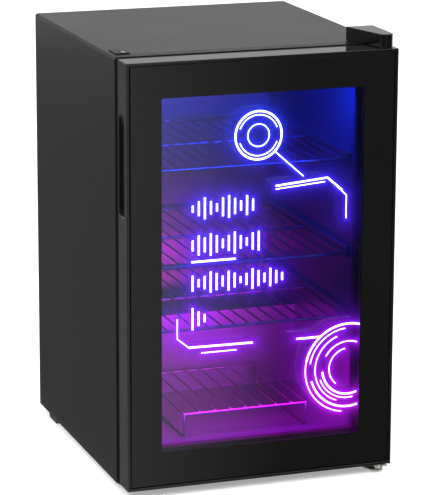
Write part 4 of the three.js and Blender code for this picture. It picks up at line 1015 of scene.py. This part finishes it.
def front_pane():
    """Front glass with ink fired on its back from the edge in to the clear window.

    A dark joint shows between its edge and the frame's lip.
    """
    low, high = GLASS_LOW, GLASS_HIGH
    chamfer, joint, corner = 0.5 * MM, 1.0 * MM, 2.5 * MM
    window = rounded((WINDOW_X[0], WINDOW_Z[0]), (WINDOW_X[1], WINDOW_Z[1]), 1 * MM)

    def edge(inset):
        start, end = (low.x + inset, low.z + inset), (high.x - inset, high.z - inset)
        return rounded(start, end, corner - inset)

    steps = (
        (low.y + chamfer, edge(joint)), (low.y, edge(joint + chamfer)), (low.y, window),
        (high.y, window), (high.y, edge(joint + chamfer)), (high.y - chamfer, edge(joint)),
    )
    work = bmesh.new()
    loops = [[work.verts.new((x, y, z)) for x, z in corners] for y, corners in steps]
    for one, two in ((0, 1), (1, 2), (3, 4), (4, 5), (5, 0)):
        walled(work, loops[one], loops[two])
    for loop in loops[2:4]:
        work.faces.new(loop)
    return piece_of("front_pane", work, 25)


pane = dressed(front_pane(), inked_glass, "front_glass")
pane.data.materials.append(float_glass("clear_float_glass", "fafdfc"))
for face in pane.data.polygons:
    if len(face.vertices) > 4:
        face.material_index = 1


def led_strip(end):
    """LED strip along an edge of the light panel: a board with a row of side-lit packages."""
    node = "led_strip_" + end
    low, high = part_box(node)
    board, tall, wide, inset = 1.6 * MM, 2.6 * MM, 3.6 * MM, 0.3 * MM
    outward = -1 if end == "bottom" else 1
    base = low.z if end == "bottom" else high.z
    near = base - outward * board
    strip = prism(end + "_led_board", rectangle(low.xy, high.xy), *sorted((base, near)))
    packages = []
    for x in evenly(low.x + 8 * MM, high.x - 8 * MM, 14 * MM):
        outline = rectangle((x - wide / 2, low.y + inset), (x + wide / 2, high.y - inset))
        packages.append(prism("package", outline, *sorted((near, near - outward * tall))))
    dressed(eased(combined(strip, packages, "UNION"), 0.15, 1), white_board, node)


led_strip("bottom")
led_strip("top")


def gasket():
    """Magnetic gasket: a base that clips to the door, a bellows fold and the magnet's soft tube."""
    low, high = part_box("door_gasket")
    depth = high.y - low.y
    width = 14 * MM
    section = [
        (0.0, 0.0), (0.0, 0.28), (0.12, 0.36), (0.12, 0.5), (0.04, 0.6), (0.05, 0.84), (0.16, 1.0),
        (0.84, 1.0), (0.95, 0.84), (0.96, 0.6), (0.88, 0.5), (0.88, 0.36), (1.0, 0.28), (1.0, 0.0),
    ]
    return framed("gasket_band", [(a * width, low.y + b * depth) for a, b in section], low, high)


dressed(gasket(), gasket_pvc, "door_gasket")


# ---- Lit artwork ----
# Plain bars, a ring and open arcs, drawn in millimetres across (x) and above the floor (z).

FINE, BOLD = 0.85, 1.5  # half widths of the engraved lines


def arc(x, z, radius, start, end, steps=40):
    """Points along an arc about (x, z), between two angles in degrees."""
    angles = np.radians(np.linspace(start, end, steps))
    return [(x + radius * math.cos(a), z + radius * math.sin(a)) for a in angles]


def level_bars(left, low, heights, pitch=9.5):
    """A row of upright bars of different heights, centred on one line."""
    middle = low + max(heights) / 2
    return [
        [(left + k * pitch, middle - height / 2), (left + k * pitch, middle + height / 2)]
        for k, height in enumerate(heights)
    ]


bold_lines = [
    *level_bars(-110, 427, (10, 22, 33, 20, 12, 28, 34, 24, 15, 30, 18)),
    *level_bars(-110, 371, (16, 30, 22, 34, 26, 14, 24, 33, 20, 12, 26, 30)),
    *level_bars(-110, 314, (24, 12, 20, 32, 26, 16, 30, 22, 10, 18, 31, 24, 14, 28, 20, 12)),
    *level_bars(-110, 258, (34, 22, 12)), [(-112, 363), (-42, 363)], [(-116, 231), (-14, 230)],
    [(57, 229), (96, 229)], arc(-7, 549, 36.5, 0, 360, 73), [(21, 470), (104, 477), (128, 456)],
    arc(142, 176, 70, 75, 168), arc(142, 176, 62, 196, 285), arc(142, 176, 42, 185, 290),
]
fine_lines = [
    arc(-7, 549, 31, 20, 160), arc(-7, 549, 31, 200, 340), arc(-7, 549, 17, 0, 360, 49),
    [(19, 523), (65, 482)], [(21, 465), (100, 471)], [(120, 462), (135, 448), (135, 412)],
    [(-134, 277), (-134, 246), (-116, 231)], [(-96, 221), (-40, 221)], arc(142, 176, 70, 168, 262),
    arc(142, 176, 63, 95, 170), arc(142, 176, 54, 110, 250), arc(142, 176, 48, 200, 280),
    arc(142, 176, 42, 70, 150), arc(142, 176, 31, 100, 230),
]


def engraving():
    """Engraved lines as flat beads just proud of the panel's face."""
    flatten = 0.35
    face = PANEL_LOW.y - 0.1 * MM
    routes = []
    for lines, radius in ((bold_lines, BOLD), (fine_lines, FINE)):
        for line in lines:
            routes.append(([(x * MM, face - radius * MM, z * MM) for x, z in line], radius * MM))
    beads = tubes("lit_engraving_lines", routes, 2)
    for vertex in beads.data.vertices:
        vertex.co.y = face + (vertex.co.y - face) * flatten
    return beads


art = engraving()
art.data.materials.clear()
art.data.materials.append(lit_engraving())
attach(art, "door")

BLUE = np.array(linear("1a3cff")[:3])
VIOLET = np.array(linear("5a1cff")[:3])
MAGENTA = np.array(linear("d01cff")[:3])


def glow_colour(share):
    """Colour of the strips' light up the window: magenta at share 0, violet, blue at share 1."""
    share = np.clip(share, 0, 1)[:, None]
    low = MAGENTA + (VIOLET - MAGENTA) * np.clip(share * 2, 0, 1)
    return low + (BLUE - low) * np.clip(share * 2 - 1, 0, 1)


def nearest_line(points):
    """How far each point of the panel's face is from the nearest engraved line, in metres."""
    best = np.full(len(points), 1.0)
    for line in bold_lines + fine_lines:
        corners = np.array(line) * MM
        for start, end in zip(corners, corners[1:]):
            way = end - start
            share = np.clip(((points - start) @ way) / (way @ way), 0, 1)
            best = np.minimum(best, np.linalg.norm(points - start - share[:, None] * way, axis=1))
    return best


def lit_panel():
    """The acrylic panel, its front in cells fine enough to carry the bloom round each line."""
    cell = 2.5 * MM
    low, high = PANEL_LOW, PANEL_HIGH
    across = np.linspace(low.x, high.x, round((high.x - low.x) / cell) + 1)
    upward = np.linspace(low.z, high.z, round((high.z - low.z) / cell) + 1)
    work = bmesh.new()
    front = [[work.verts.new((x, low.y, z)) for x in across] for z in upward]
    for one, two in zip(front, front[1:]):
        for k in range(len(across) - 1):
            work.faces.new((one[k], one[k + 1], two[k + 1], two[k]))
    rim = [*front[0], *[row[-1] for row in front[1:-1]]]
    rim += [*front[-1][::-1], *[row[0] for row in front[-2:0:-1]]]
    behind = [work.verts.new((v.co.x, high.y, v.co.z)) for v in rim]
    work.faces.new(behind[::-1])
    for k in range(len(rim)):
        n = (k + 1) % len(rim)
        work.faces.new((rim[n], rim[k], behind[k], behind[n]))
    panel = piece_of("edge_lit_panel", work)
    places = np.array([v.co for v in panel.data.vertices])
    share = (places[:, 2] - WINDOW_Z[0]) / (WINDOW_Z[1] - WINDOW_Z[0])
    distance = nearest_line(places[:, (0, 2)]) / MM
    halo, veil, haze = 0.8 * np.exp(-distance / 3.2), 0.3 * np.exp(-distance / 13), 0.004
    bloom = halo + veil + haze
    bloom[places[:, 1] > (low.y + high.y) / 2] = 0.0
    layer = panel.data.color_attributes.new("bloom", "FLOAT_COLOR", "POINT")
    colours = np.column_stack([glow_colour(share), bloom]).astype(np.float32)
    layer.data.foreach_set("color", colours.ravel())
    return panel


dressed(lit_panel(), lit_acrylic(), "light_panel")


# ---- Light from the panel into the cabin ----


def area_lamp(name, place, aim, size, power, colour="ffffff"):
    """A soft rectangular lamp, aimed at a point and hidden from the camera."""
    data = bpy.data.lights.new(name, "AREA")
    data.shape = "RECTANGLE"
    data.size, data.size_y = size
    data.color = linear(colour)[:3]
    data.energy = power
    lamp = bpy.data.objects.new(name, data)
    scene.collection.objects.link(lamp)
    lamp.location = place
    lamp.rotation_euler = (Vector(aim) - Vector(place)).to_track_quat("-Z", "Y").to_euler()
    lamp.visible_camera = False
    return lamp


CABIN_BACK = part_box("inner_liner")[1].y
BEHIND = PACK_HIGH.y + 8 * MM
# These ride on the door and throw the strips' light into the cabin. Each row gives the lamp's
# depth and height, the depth and height that it is aimed at, its size, power and colour.
for name, place, aim, size, power, colour in (
    ("top_strip", (BEHIND, WINDOW_Z[1] - 0.02), (CABIN_BACK, 0.5), (0.3, 0.03), 20, "1430ff"),
    ("middle", (BEHIND, 0.34), (CABIN_BACK, 0.34), (0.3, 0.2), 0.7, "3a14ff"),
    ("bottom_strip", (BEHIND, WINDOW_Z[0] + 0.03), (CABIN_BACK, 0.08), (0.3, 0.03), 2.5, "a010ff"),
    ("floor", (BEHIND + 0.02, WINDOW_Z[0] + 0.1), (-0.02, 0.06), (0.3, 0.04), 11, "c404c0"),
):
    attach(area_lamp(name + "_glow", (0, *place), (0, *aim), size, power, colour), "door")


# ---- Studio ----


def camera():
    """Long lens on the left of the fridge, looking slightly down at it."""
    yaw, pitch, roll = (math.radians(a) for a in (19.463, 14.080, 0.2446))
    flat = math.cos(pitch)
    forward = Vector((math.sin(yaw) * flat, math.cos(yaw) * flat, -math.sin(pitch)))
    level = Vector((math.cos(yaw), -math.sin(yaw), 0))
    above = level.cross(forward)
    right = math.cos(roll) * level + math.sin(roll) * above
    up = math.cos(roll) * above - math.sin(roll) * level
    data = bpy.data.cameras.new("camera")
    data.lens = 194.5
    data.sensor_width = 36
    data.clip_end = 60
    eye = bpy.data.objects.new("camera", data)
    scene.collection.objects.link(eye)
    turn = Matrix((right, up, -forward)).transposed().to_4x4()
    eye.matrix_world = Matrix.Translation((-1.3591, -3.8816, 1.3521)) @ turn
    scene.camera = eye


def studio_floor():
    """Plain pale floor, wide enough to fill the view."""
    work = bmesh.new()
    bmesh.ops.create_grid(work, x_segments=1, y_segments=1, size=25)
    floor = piece_of("studio_floor", work)
    paper = surface(
        "pale_studio_paper", "f8f8f8", "f6f6f6", 900, (0.9, 1.0), 2.0, 0.02,
        Specular_IOR_Level=0.0, Emission_Color=linear("ffffff"), Emission_Strength=0.3,
    )
    floor.data.materials.append(paper)


def glowing(name):
    """Material that only gives light, at the level of its emission colour."""
    return blank(
        name, Roughness=1.0, Specular_IOR_Level=0.0, Base_Color=linear("000000"),
        Emission_Color=linear("ffffff"), Emission_Strength=1.0,
    )


def studio_wall():
    """White wall far behind the floor, so a low view has no horizon. Reflections don't see it."""
    work = bmesh.new()
    bmesh.ops.create_cone(work, cap_ends=False, segments=96, radius1=24, radius2=24, depth=40)
    wall = piece_of("studio_wall", work)
    wall.data.materials.append(glowing("white_wall_paint")[0])
    for ray in ("diffuse", "glossy", "volume_scatter", "shadow"):
        setattr(wall, "visible_" + ray, False)


# The door mirrors the floor as if seen from the camera's image behind it. Bearings start there.
IMAGE = (-1.359, 3.398)


def fan(left, right, near=-0.25, far=-12.0):
    """The floor between two bearings from the camera's image, in front of the fridge."""
    ends = ((left, near), (right, near), (right, far), (left, far))
    return [(IMAGE[0] + bearing * (IMAGE[1] - y), y) for bearing, y in ends]


def reflection_card(name, corners, stops):
    """A dim glowing card on the floor that only reflections see. It is a painted reflection: its
    glow sets how light the floor mirrored in the door and the cap looks.

    Its shade runs through stops, each a bearing from the camera's image and a shade.
    """
    mesh = bpy.data.meshes.new(name)
    mesh.from_pydata([(x, y, 2 * MM) for x, y in corners], [], [range(4)])
    card = linked(name, mesh)
    material, tree, shader = glowing(name)
    place = add(tree, "SeparateXYZ", {"Vector": add(tree, "TexCoord").outputs["Object"]})
    across = add(tree, "Math", {0: place.outputs["X"], 1: IMAGE[0]}, operation="SUBTRACT")
    along = add(tree, "Math", {0: IMAGE[1], 1: place.outputs["Y"]}, operation="SUBTRACT")
    ratio = {0: across.outputs["Value"], 1: along.outputs["Value"]}
    bearing = add(tree, "Math", ratio, operation="DIVIDE")
    shade = add(tree, "ValToRGB", {"Fac": bearing.outputs["Value"]})
    ends = shade.color_ramp.elements
    for at, _ in stops[1:-1]:
        ends.new(at)
    for mark, (at, level) in zip(ends, stops):
        mark.position = at
        mark.color = (level,) * 3 + (1,)
    tree.links.new(shade.outputs["Color"], shader.inputs["Emission Color"])
    card.data.materials.append(material)
    for ray in ("camera", "diffuse", "volume_scatter", "shadow"):
        setattr(card, "visible_" + ray, False)


camera()
studio_floor()
studio_wall()
MIDDLE = (0, 0, 0.35)
area_lamp("key_softbox", (-2.2, -2.6, 2.6), MIDDLE, (1.6, 1.6), 60)
area_lamp("right_softbox", (2.4, -1.6, 1.3), MIDDLE, (0.9, 1.6), 40)
# Painted reflection: the front card's glow grades the door glass's mirrored floor from light on its
# left to near black on its right, and keeps the hinge cap's slanted side dark. The left card paints
# a dim, even reflection on the cabinet's left side.
reflection_card("front_card", fan(-1.2, 2.5), ((0.2, 0.06), (0.3, 0.5), (0.31, 0.5), (0.385, 0.02)))
reflection_card("left_card", rectangle((-5.0, -0.2), (-0.22, 4.5)), ((0.0, 0.22), (1.0, 0.22)))


def studio_sky():
    """Soft overhead light that falls off towards the studio's walls."""
    world = bpy.data.worlds.new("studio")
    world.use_nodes = True
    tree = world.node_tree
    height = add(tree, "SeparateXYZ", {"Vector": add(tree, "TexCoord").outputs["Generated"]})
    level = add(tree, "MapRange", {"Value": height.outputs["Z"], "To Min": 0.5, "To Max": 1.45})
    tree.links.new(level.outputs["Result"], tree.nodes["Background"].inputs["Strength"])
    tree.nodes["Background"].inputs["Color"].default_value = (1, 1, 1, 1)
    scene.world = world


studio_sky()
scene.view_settings.view_transform = "Standard"
